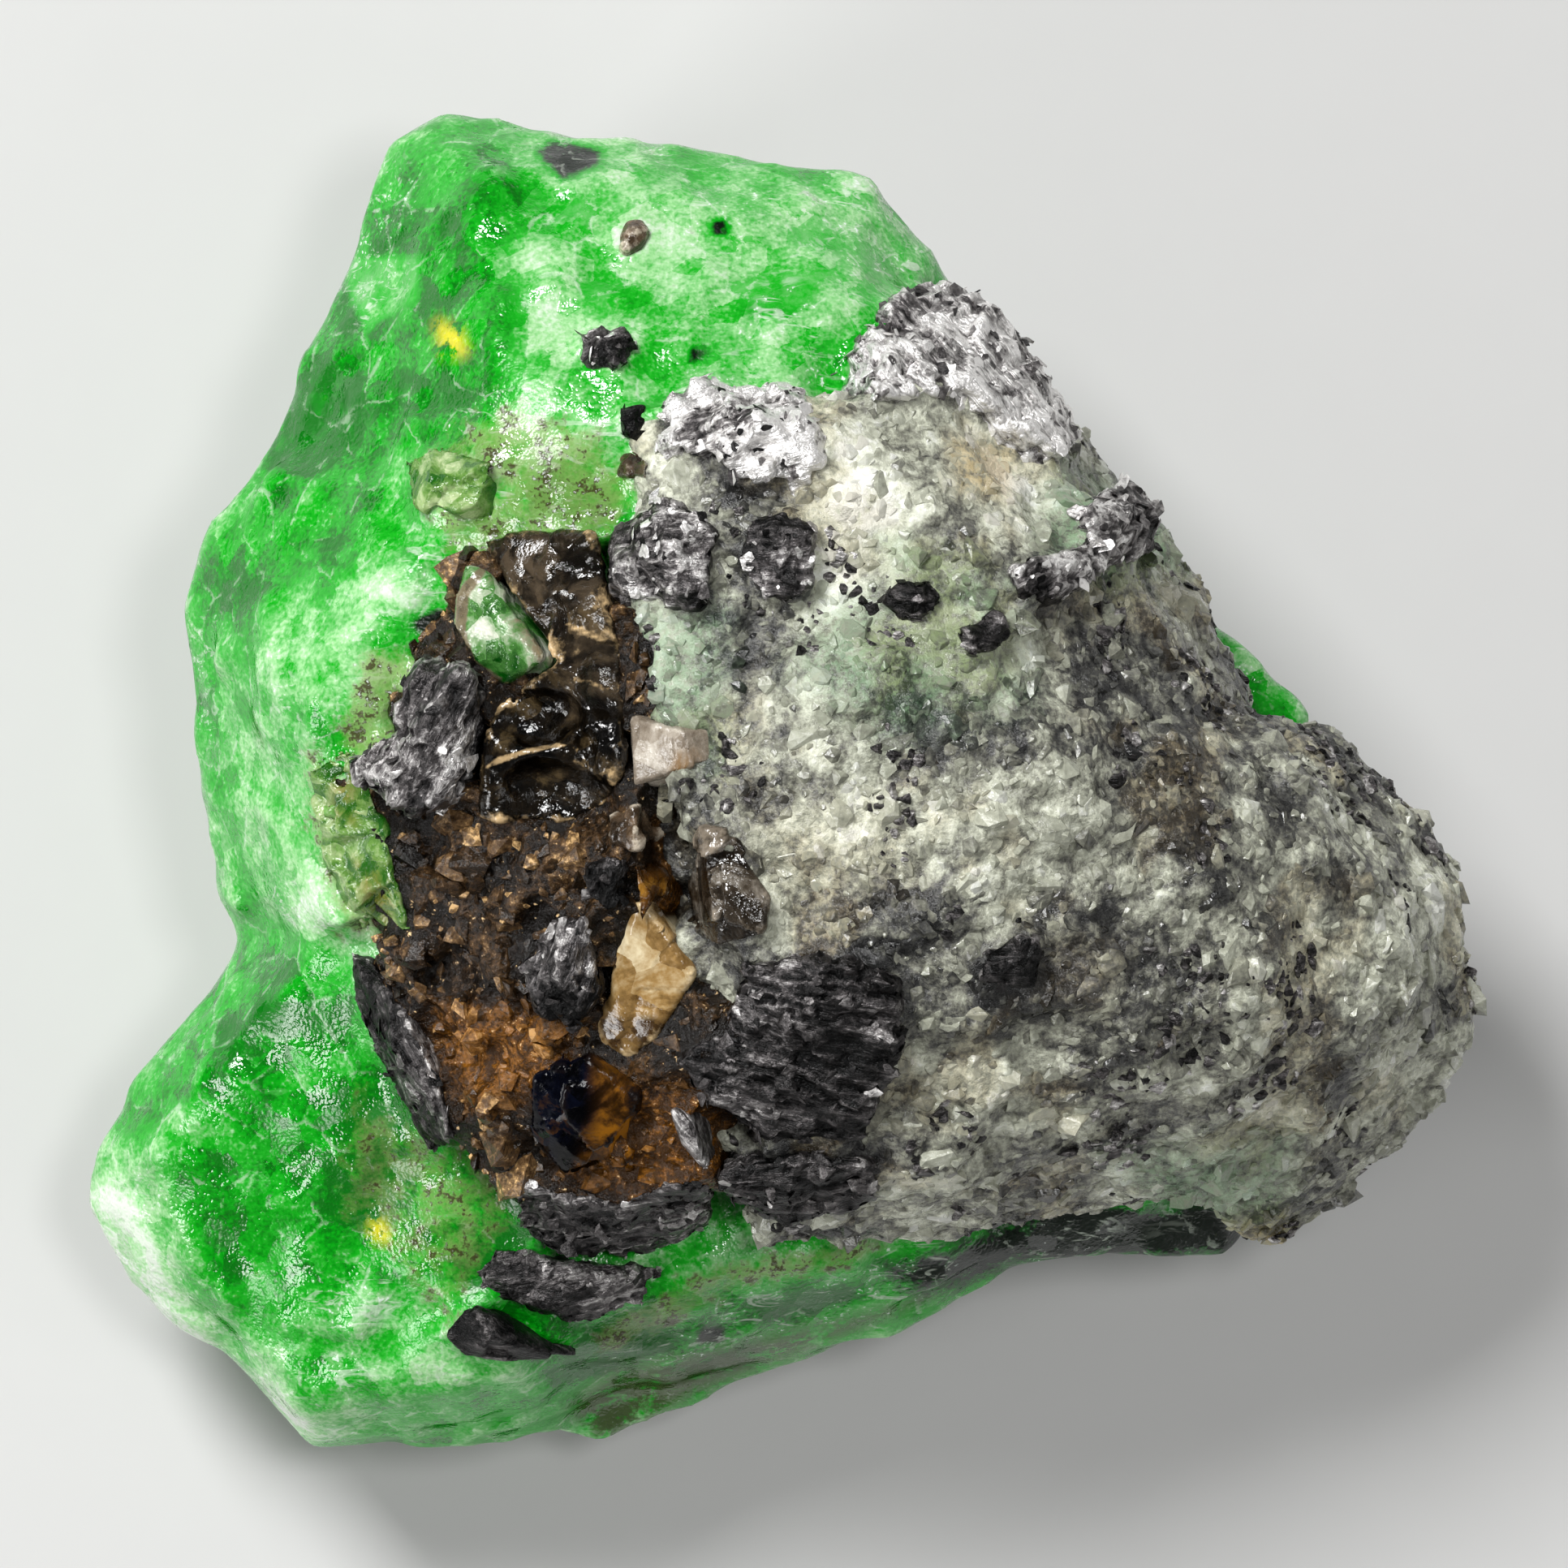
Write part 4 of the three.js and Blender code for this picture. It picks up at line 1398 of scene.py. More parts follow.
@dataclass
class SetGrains:
    """Every grain that is set in the specimen's surface, and the finishes that they share."""

    grains: tuple[SetGrain, ...] = (
        SetGrain("graphite_plate_top", "graphite", Habit.LAMELLAE, -52, 0.75, 0.09, 1.3, 0.5),
        SetGrain("graphite_foil_centre", "graphite", Habit.FOIL, 20, 0.97, 0.07, 1.5, 1.0, 0.05),
        SetGrain("graphite_lump_centre", "graphite", Habit.LUMPY, 0, 0.34, 0.08, 1.0, 0.6),
        SetGrain("graphite_lump_inner", "graphite", Habit.LUMPY, 0, 0.35, 0.07, 1.0, 0.6),
        SetGrain("graphite_flake_upper", "graphite", Habit.LUMPY, 30, 0.22, 0.06, spark=0.5),
        SetGrain("graphite_flake_corner", "graphite", Habit.LUMPY, 0, 0.12, 0.06),
        SetGrain("graphite_chunk_left", "graphite", Habit.COLUMNS, 62, 0.42, 0.08, 1.7, 0.3, 0.06),
        SetGrain("graphite_streak_right", "graphite", Habit.LAMELLAE, 30, 0.5, 0.08, 1.2, 0.5),
        SetGrain("graphite_grain_upper", "graphite", Habit.LUMPY, 0, 0.15, 0.06),
        SetGrain("graphite_grain_middle", "graphite", Habit.LUMPY, 0, 0.15, 0.06),
        SetGrain("graphite_grain_lower", "graphite", Habit.LUMPY, 0, 0.2, 0.06),
        SetGrain("graphite_rim_left", "graphite", Habit.LAMELLAE, -62, 0.3, 0.07, 0.7),
        SetGrain("graphite_lump_middle", "graphite", Habit.LUMPY, 70, 0.2, 0.07, 1.0, 0.35),
        SetGrain("graphite_seam_middle", "graphite", Habit.LUMPY, 70, 0.08, 0.06),
        SetGrain("graphite_mass_lower", "graphite", Habit.LAMELLAE, -12, 0.2, 0.09, 1.3, 0.22),
        SetGrain("graphite_blade_lower", "graphite", Habit.GLASSY, -55, 0.42, 0.06, 0.4, 0.2, 0.05),
        SetGrain("graphite_sheet_right", "graphite", Habit.LAMELLAE, 4, 0.27, 0.08, 1.0, 0.2),
        SetGrain("graphite_sheet_lower", "graphite", Habit.LAMELLAE, 8, 0.27, 0.08, 1.0, 0.2),
        SetGrain("graphite_lobe_lower", "graphite", Habit.LUMPY, 15, 0.3, 0.08, 0.7),
        SetGrain("graphite_tip_lower", "graphite", Habit.GLASSY, -10, 0.15, 0.07, 0.7),
        SetGrain("golden_quartz_crystal", "golden_quartz", Habit.CLEAVED, 0, 0, 0.06, 0.5, 0.25, 0.1, (
            Patch(Zone.RUST_AND_GLINT, ((0.0, 0.27), (1.0, 0.24), (1.0, 0.0), (0.0, 0.0)), 0.15, 1.2),
            Patch(Zone.RUST_AND_GLINT, ((0.0, 1.0), (1.0, 1.0), (1.0, 0.9), (0.0, 0.84)), 0.15, 1.2),
        )),
        SetGrain("smoky_quartz_shell", "smoky_quartz", Habit.GLASSY, 0, 0, 0.08, 0.5, swell=0.05, scoops=(
            Scoop((0.5, 0.22), (1.3, 1.2, 1.0), 0.3, fills=True),
            Scoop((0.3, 0.37), (1.25, 0.7, 1.0), 0.3),
            Scoop((0.42, 0.1), (1.45, 0.95, 1.3), 0.4),
            Scoop((0.85, 0.5), (0.75, 0.95, 0.8), 0.3),
            Scoop((0.6, 0.88), (1.5, 0.6, 0.6), 0.35),
        ), patches=(
            # painted highlights: thin golden crescents along the edges of its hollows
            Patch(Zone.GOLD, ((0.03, 0.19), (0.12, 0.225), (0.3, 0.255), (0.52, 0.275), (0.66, 0.255),
                              (0.52, 0.26), (0.3, 0.235), (0.12, 0.2)), 0.06, 1.4),
            Patch(Zone.GOLD, ((0.57, 0.01), (0.72, 0.035), (0.84, 0.09), (0.86, 0.08), (0.76, 0.02),
                              (0.6, 0.0)), 0.06, 1.4),
            Patch(Zone.GOLD, ((0.55, 0.68), (0.68, 0.67), (0.84, 0.62), (0.8, 0.615), (0.6, 0.66)),
                  0.06, 0.8),
            Patch(Zone.GOLD, ((0.62, 0.5), (0.74, 0.485), (0.93, 0.445), (0.76, 0.465), (0.62, 0.485)),
                  0.06, 0.8),
            Patch(Zone.RUST_AND_GLINT, ((0.0, 1.0), (0.9, 1.0), (0.9, 0.74), (0.0, 0.74)), 0.5, 1.1),
            Patch(Zone.RUST_AND_GLINT, ((0.58, 0.68), (1.0, 0.68), (1.0, 0.36), (0.58, 0.36)), 0.4, 0.7),
            Patch(Zone.RUST_AND_GLINT, ((0.5, 0.2), (0.9, 0.2), (0.8, 0.05), (0.6, 0.05)), 0.4, 0.4),
        )),
        SetGrain("clear_quartz_window", "clear_quartz", Habit.GLASSY, 0, 0, 0.07, 0.3, swell=0.12, patches=(
            Patch(Zone.GOLD, ((0.34, 1.0), (0.14, 0.75), (0.11, 0.45), (0.2, 0.2), (0.45, 0.05), (0.4, 0.0),
                              (0.1, 0.15), (0.0, 0.45), (0.02, 0.78), (0.25, 1.0)), 0.07, 1.4),
        )),
        SetGrain("smoky_quartz_grain", "pale_smoke", Habit.CLEAVED, 0, 0, 0.08),
        SetGrain("orange_quartz_grain", "orange_quartz", Habit.GLASSY, 0, 0, 0.07),
        SetGrain("brown_quartz_grain", "brown_quartz", Habit.LUMPY, 0, 0, 0.07),
        SetGrain("brown_grain_upper", "brown_quartz", Habit.GLASSY, 0, 0, 0.05),
        SetGrain("brown_grain_middle", "brown_quartz", Habit.GLASSY, 0, 0, 0.05),
        SetGrain("feldspar_grain", "feldspar", Habit.CLEAVED, 0, 0, 0.07, 0.8, patches=(
            Patch(Zone.RUST_AND_GLINT, ((0.33, 0.1), (0.42, 0.5), (0.62, 0.55), (0.72, 0.25), (0.6, 0.02),
                              (0.42, 0.0)), 0.12),
        )),
        SetGrain("stained_dark_crystal", "dark_crystal", Habit.CLEAVED, 0, 0, 0.08, 1.2, swell=0.05, patches=(
            Patch(Zone.RUST_AND_GLINT, ((0.62, 0.9), (1.0, 0.9), (1.0, 0.0), (0.45, 0.05), (0.6, 0.45)), 0.3, 1.1),
        )),
        SetGrain("pale_garnet_grain", "pale_garnet", Habit.CLEAVED, 0, 0, 0.07, 1.2),
        SetGrain("pale_garnet_rim", "pale_garnet", Habit.GLASSY, 0, 0, 0.07, 1.6, patches=(
            Patch(Zone.RUST_AND_GLINT, ((0.2, 0.9), (0.5, 0.85), (0.45, 0.6), (0.25, 0.65)), 0.25, 0.7),
            Patch(Zone.RUST_AND_GLINT, ((0.45, 0.4), (0.85, 0.35), (0.8, 0.05), (0.6, 0.1)), 0.3, 0.8),
        )),
    )
    flakes: Bed = Bed(0.26, (0.05, 0.21), flat=0.18, sunk=0.3, lean=0.4, share=0.7, seed=5)

    def finishes(self) -> dict[str, bpy.types.Material]:
        """The finishes by name.

        Returns:
            Each finish's material under the finish's name.
        """
        glass = (
            QuartzFinish(
                "golden_quartz", (0.14, 0.06, 0.01), (0.58, 0.35, 0.12), (1.0, 0.86, 0.56), 0.5, 0.6, 0.05,
                edge=(1.0, 0.74, 0.4), stain=(0.07, 0.035, 0.01), size=1.3, depth=(0.95, 0.7, 0.3),
                density=160.0, contrast=2.2, gloss=0.3, shards=0.28, relief=0.03, bend=0.3,
            ),
            QuartzFinish(
                "smoky_quartz", (0.002, 0.0015, 0.001), (0.018, 0.012, 0.006), (0.16, 0.11, 0.05), 0.6, 0.3,
                0.04, edge=(1.0, 0.7, 0.36), stain=(0.11, 0.08, 0.05), contrast=3.0, gloss=0.3, relief=0.05,
            ),
            QuartzFinish(
                "pale_smoke", (0.015, 0.01, 0.006), (0.08, 0.06, 0.04), (0.45, 0.4, 0.33), 0.5, 0.3, 0.05,
                edge=(0.4, 0.33, 0.25),
            ),
            QuartzFinish(
                "clear_quartz", (0.004, 0.2, 0.006), (0.16, 0.52, 0.1), (0.95, 0.98, 0.8), 0.7, 0.5, 0.02,
                edge=(0.36, 0.3, 0.18), contrast=2.0,
            ),
            QuartzFinish(
                "orange_quartz", (0.012, 0.004, 0.001), (0.12, 0.045, 0.004), (0.5, 0.24, 0.03), 0.4, 0.35,
            ),
            QuartzFinish(
                "brown_quartz", (0.02, 0.012, 0.006), (0.11, 0.07, 0.04), (0.32, 0.22, 0.14), 0.3, 0.4, 0.15,
            ),
            QuartzFinish(
                "feldspar", (0.22, 0.17, 0.12), (0.45, 0.38, 0.3), (0.78, 0.72, 0.62), 0.3, 0.5, 0.15,
                edge=(0.75, 0.68, 0.56), stain=(0.26, 0.15, 0.06),
            ),
            QuartzFinish(
                "dark_crystal", (0.0005, 0.0005, 0.001), (0.002, 0.003, 0.009), (0.1, 0.04, 0.005), 0.1, 0.2,
                0.05, edge=(0.008, 0.005, 0.005), stain=(0.34, 0.13, 0.008), gloss=0.07, relief=0.03,
            ),
            QuartzFinish(
                "pale_garnet", (0.02, 0.2, 0.008), (0.22, 0.46, 0.09), (0.66, 0.78, 0.42), 0.5, 0.45, 0.06,
                edge=(0.42, 0.6, 0.22), stain=(0.3, 0.2, 0.02), size=0.7, depth=(0.3, 0.9, 0.3),
                contrast=2.6,
            ),
        )
        made = {finish.name: finish.material() for finish in glass}
        made["graphite"] = GraphiteFinish().material()
        return made

    def build(self, neighbours: Neighbours) -> None:
        """Makes every set grain, and the loose flakes on the graphite.

        Args:
            neighbours: Takes their skins, for the minerals round them.
        """
        made = self.finishes()
        flaked = []
        for number, grain in enumerate(self.grains):
            skin = grain.build(number, made[grain.finish], neighbours)
            if grain.finish == "graphite" and grain.habit is not Habit.GLASSY:
                facing = skin.normals()
                flakes = self.flakes.laid(skin, facing[:, 2] > 0.0)
                flakes.marks["shine"] += 2.0 * grain.spark * (flakes.marks["toss"] - 0.5)
                flaked.append(flakes)
        piece = joined(flaked).to_object("graphite_flakes", made["graphite"], smooth=False)


# ---------------------------------------------------------------- the three main bodies


@dataclass
class Gneiss:
    """The matrix: a lump of gneiss whose grains stand out of it."""

    node: str = "gneiss_matrix"
    garnet: str = "tsavorite"
    voxel: float = 0.13
    patches: tuple[Patch, ...] = (
        Patch(Zone.QUARTZ, ((0.09, 0.95), (0.25, 0.91), (0.4, 0.93), (0.5, 0.88), (0.5, 0.81), (0.4, 0.72),
                            (0.27, 0.75), (0.21, 0.81), (0.12, 0.88)), 0.7),
        Patch(Zone.QUARTZ, ((0.12, 0.64), (0.21, 0.64), (0.31, 0.57), (0.31, 0.52), (0.18, 0.52),
                            (0.12, 0.57)), 0.5),
        Patch(Zone.QUARTZ, ((0.16, 0.48), (0.29, 0.5), (0.29, 0.41), (0.19, 0.38), (0.15, 0.43)), 0.6, 0.8),
        Patch(Zone.CHLORITE, ((0.51, 0.86), (0.61, 0.82), (0.66, 0.75), (0.57, 0.72), (0.49, 0.77)), 0.6),
        Patch(Zone.CHLORITE, ((0.25, 0.7), (0.44, 0.72), (0.46, 0.61), (0.31, 0.57), (0.21, 0.63)), 0.9),
        Patch(Zone.CHLORITE, ((0.0, 0.7), (0.12, 0.7), (0.12, 0.52), (0.02, 0.57)), 0.6, 0.8),
        Patch(Zone.CHLORITE, ((0.57, 0.1), (0.78, 0.13), (0.78, 0.02), (0.65, 0.01)), 0.6, 0.8),
        Patch(Zone.RUST_AND_GLINT, ((0.38, 0.89), (0.46, 0.88), (0.45, 0.82), (0.39, 0.83)), 0.35, 1.1),
        Patch(Zone.QUARTZ, ((0.84, 0.36), (0.93, 0.38), (0.98, 0.25), (0.91, 0.14), (0.83, 0.2)), 0.6, 0.9),
        Patch(Zone.QUARTZ, ((0.3, 0.74), (0.42, 0.73), (0.43, 0.66), (0.33, 0.66)), 0.5, 0.7),
        Patch(Zone.CHLORITE, ((0.3, 0.78), (0.42, 0.76), (0.43, 0.69), (0.33, 0.68)), 0.5, 0.9),
        Patch(Zone.RUST_AND_GLINT, ((0.69, 0.02), (0.78, 0.04), (0.8, -0.02), (0.67, -0.02)), 0.4, 0.9),
        Patch(Zone.SOOT, ((0.45, 0.63), (0.75, 0.57), (0.88, 0.39), (0.78, 0.22), (0.55, 0.31)), 1.6, 0.35),
        Patch(Zone.RUST_AND_GLINT, ((0.15, 0.48), (0.3, 0.49), (0.34, 0.4), (0.18, 0.38)), 0.8, 0.3),
        Patch(Zone.RUST_AND_GLINT, ((0.5, 0.35), (0.58, 0.33), (0.56, 0.26), (0.48, 0.28)), 0.5, 0.25),
        Patch(Zone.SOOT, ((0.1, 0.54), (0.18, 0.54), (0.18, 0.45), (0.1, 0.46)), 0.4, 0.8),
        Patch(Zone.SOOT, ((0.31, 0.35), (0.5, 0.35), (0.5, 0.23), (0.31, 0.22)), 0.7, 0.4),
    )
    coarse: Bed = Bed(0.72, (0.25, 0.5), flat=0.7, sunk=0.85, lean=0.6, corners=20, seed=21)
    small: Bed = Bed(0.4, (0.12, 0.26), flat=0.8, sunk=0.65, lean=0.7, corners=16, seed=22)
    flecks: Bed = Bed(0.3, (0.06, 0.24), flat=0.5, sunk=0.2, lean=0.8, share=0.8, seed=23)
    tones: tuple[tuple[float, Colour], ...] = (
        (0.0, (0.012, 0.012, 0.012)), (0.2, (0.055, 0.055, 0.05)), (0.38, (0.19, 0.19, 0.155)),
        (0.58, (0.42, 0.43, 0.34)), (0.78, (0.72, 0.74, 0.6)), (1.0, (0.95, 0.96, 0.88)),
    )
    tints: tuple[tuple[str, Colour, float], ...] = (
        ("chlorite", (0.12, 0.3, 0.13), 0.7), ("rust", (0.55, 0.36, 0.1), 0.5),
    )

    def build(self, neighbours: Neighbours) -> None:
        """Makes the matrix and the grains on it.

        Args:
            neighbours: The set grains, and then its own skin as well.
        """
        skin = Skin.of_node(self.node, self.voxel)
        skin.relax(3)
        noise = Field(31)
        clear = eased(neighbours.clearance(skin, self.voxel), 0.0, 0.8)
        crowd = self.lumps(skin, noise)
        heights = noise.facets(skin.points, 1.7, 0.14) + 0.16 * noise.rough(skin.points, 2.4, 4)
        heights += 0.2 * eased(crowd.gap, 0.0, 0.4) - 0.2
        skin.push(np.where(heights > 0.0, heights * clear, heights))
        skin = skin.seated(neighbours, self.voxel)
        skin.zone(self.patches)
        self.tone(skin, noise)
        shifts = (("tone", 1.0),)
        host = RockFinish("gneiss", self.tones, shifts, self.tints, 0.5, 1.1, relief=0.06, faces=0.5)
        piece = skin.to_object("gneiss_matrix_surface", host.material())
        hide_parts(self.node)
        under = Distances.of_skin(Skin.of_solid(self.garnet), *skin.room(self.voxel), self.voxel)
        bare = (under.read(skin.points) > 0.42) & (skin.marks["seam"] < 0.35)
        chips = joined([self.coarse.laid(skin, bare), self.small.laid(skin, bare)])
        chips.marks["tone"] += 0.34 * (chips.marks["toss"] - 0.5) + 0.06
        finish = RockFinish(
            "gneiss_grains", self.tones, shifts, self.tints,
            mottle=0.9, size=0.2, clear=0.3, smooth=0.06, relief=0.03,
        )
        chips.to_object("gneiss_grains", finish.material(), smooth=False)
        clusters = noise.rough(skin.points + 10.0, 1.5, 4)
        clusters = clusters + 0.35 * skin.marks["soot"] - 0.5 * skin.marks["quartz"]
        flecks = self.flecks.laid(skin, bare & (clusters > 0.38))
        flecks.marks["strata"] = flecks.points
        flecks.marks["shine"] = 0.22 + 0.5 * flecks.marks["toss"] ** 2
        piece = flecks.to_object("gneiss_graphite_flecks", GraphiteFinish().material(), smooth=False)
        neighbours.skins.append(skin)

    def lumps(self, skin: Skin, noise: Field) -> Cells:
        """The rounded lumps that the matrix is made of."""
        return noise.cells(noise.warped(skin.points, 1.2, 0.3), 0.8)

    def tone(self, skin: Skin, noise: Field) -> None:
        """Marks how pale the gneiss is at each point.

        Args:
            skin: The matrix's skin.
            noise: Where its mottling comes from.
        """
        marks = skin.marks
        crowd = self.lumps(skin, noise)
        # painted shade: darker along the sunken borders between its lumps, and where it meets a neighbour
        marks["tone"] = (
            0.53 + 0.36 * noise.rough(skin.points + 50.0, 1.7, 4) + 0.22 * (crowd.keys[:, 0] - 0.5)
            - 0.25 * (1.0 - eased(crowd.gap, 0.0, 0.3)) + 0.2 * marks["quartz"] - 0.16 * marks["soot"]
            - 0.1 * marks["seam"]
        )
        rusty = eased(noise.rough(skin.points + 33.0, 1.6, 4), 0.1, 0.6)
        marks["rust"] = np.maximum(marks["rust"], 0.4 * rusty)


@dataclass
class Crust:
    """The iron-stained crust between the garnet and the gneiss."""

    node: str = "iron_stained_crust"
    voxel: float = 0.09
    patches: tuple[Patch, ...] = (
        Patch(Zone.GOLD, ((0.25, 0.3), (0.57, 0.3), (0.57, 0.18), (0.34, 0.16), (0.25, 0.23)), 0.4),
        Patch(Zone.GOLD, ((0.24, 0.57), (0.66, 0.57), (0.66, 0.51), (0.25, 0.51)), 0.3),
        Patch(Zone.RUST_AND_GLINT, ((0.25, 0.3), (0.57, 0.3), (0.57, 0.18), (0.34, 0.16), (0.25, 0.23)), 0.5),
        Patch(Zone.RUST_AND_GLINT, ((0.61, 0.2), (0.97, 0.18), (0.97, 0.06), (0.75, 0.03), (0.54, 0.07)), 0.5),
        Patch(Zone.RUST_AND_GLINT, ((0.79, 0.57), (0.93, 0.57), (0.9, 0.43), (0.77, 0.43)), 0.4),
        Patch(Zone.SOOT, ((0.05, 0.58), (0.2, 0.52), (0.16, 0.43), (0.05, 0.46)), 0.4),
        Patch(Zone.QUARTZ, ((0.11, 0.51), (0.52, 0.51), (0.43, 0.4), (0.11, 0.4)), 0.4),
    )
    blocks: Bed = Bed(0.75, (0.22, 0.55), flat=0.7, sunk=0.45, lean=0.8, share=0.85, corners=12, seed=41)
    chips: Bed = Bed(0.4, (0.08, 0.22), flat=0.8, sunk=0.3, lean=0.9, share=0.6, corners=10, seed=42)
    rock: RockFinish = RockFinish(
        "crust",
        ((0.15, (0.004, 0.0025, 0.0015)), (0.4, (0.02, 0.011, 0.005)), (0.64, (0.085, 0.045, 0.018)),
         (0.85, (0.3, 0.18, 0.08)), (1.0, (0.85, 0.56, 0.26))),
        # painted shade: the seam shift darkens it where it meets a neighbour
        (("tone", 1.0), ("soot", -0.35), ("quartz", 0.2), ("seam", -0.1), ("gold", 0.15)),
        (("rust", (0.42, 0.15, 0.006), 0.5),),
        broad=2.0, mottle=1.5, smooth=0.07, relief=0.1, glint=(1.0, 0.7, 0.36), gloss=0.28, faces=0.5,
    )
    grains: RockFinish = RockFinish(
        "crust_grains",
        ((0.05, (0.003, 0.002, 0.001)), (0.4, (0.022, 0.012, 0.005)), (0.62, (0.08, 0.043, 0.018)),
         (0.8, (0.2, 0.115, 0.05)), (0.92, (0.42, 0.25, 0.1)), (1.0, (0.9, 0.58, 0.26))),
        (("tone", 0.6), ("toss", 0.75), ("gold", 0.2), ("quartz", 0.12), ("soot", -0.3)),
        (("rust", (0.5, 0.18, 0.006), 0.5),),
        mottle=1.5, clear=0.2, smooth=0.04, relief=0.05, gloss=0.35,
    )

    def build(self, neighbours: Neighbours) -> None:
        """Makes the crust and the grains on it.

        Args:
            neighbours: The minerals made before it, and then its own skin as well.
        """
        skin = Skin.of_node(self.node, self.voxel)
        skin.relax(2)
        noise = Field(57)
        clear = eased(neighbours.clearance(skin, self.voxel), 0.0, 0.7)
        bent = noise.warped(skin.points, 0.9, 0.3)
        heights = noise.facets(bent, 1.1, 0.5) + 0.26 * noise.rough(skin.points, 0.8, 4) - 0.08
        skin.push(np.where(heights > 0.0, heights * clear, heights))
        skin = skin.seated(neighbours, self.voxel)
        skin.zone(self.patches)
        # painted shade and highlight: its hollows darker and its ridges paler
        skin.marks["tone"] = 0.27 + 0.4 * skin.ridges(5, 0.12)
        piece = skin.to_object("iron_stained_crust_surface", self.rock.material())
        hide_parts(self.node)
        bare = (skin.normals()[:, 2] > 0.1) & (skin.marks["seam"] < 0.35)
        blocks = self.blocks.laid(skin, bare)
        blocks.marks["toss"] *= 0.78
        chips = joined([blocks, self.chips.laid(skin, bare)])
        chips.to_object("crust_grains", self.grains.material(), smooth=False)
        neighbours.skins.append(skin)


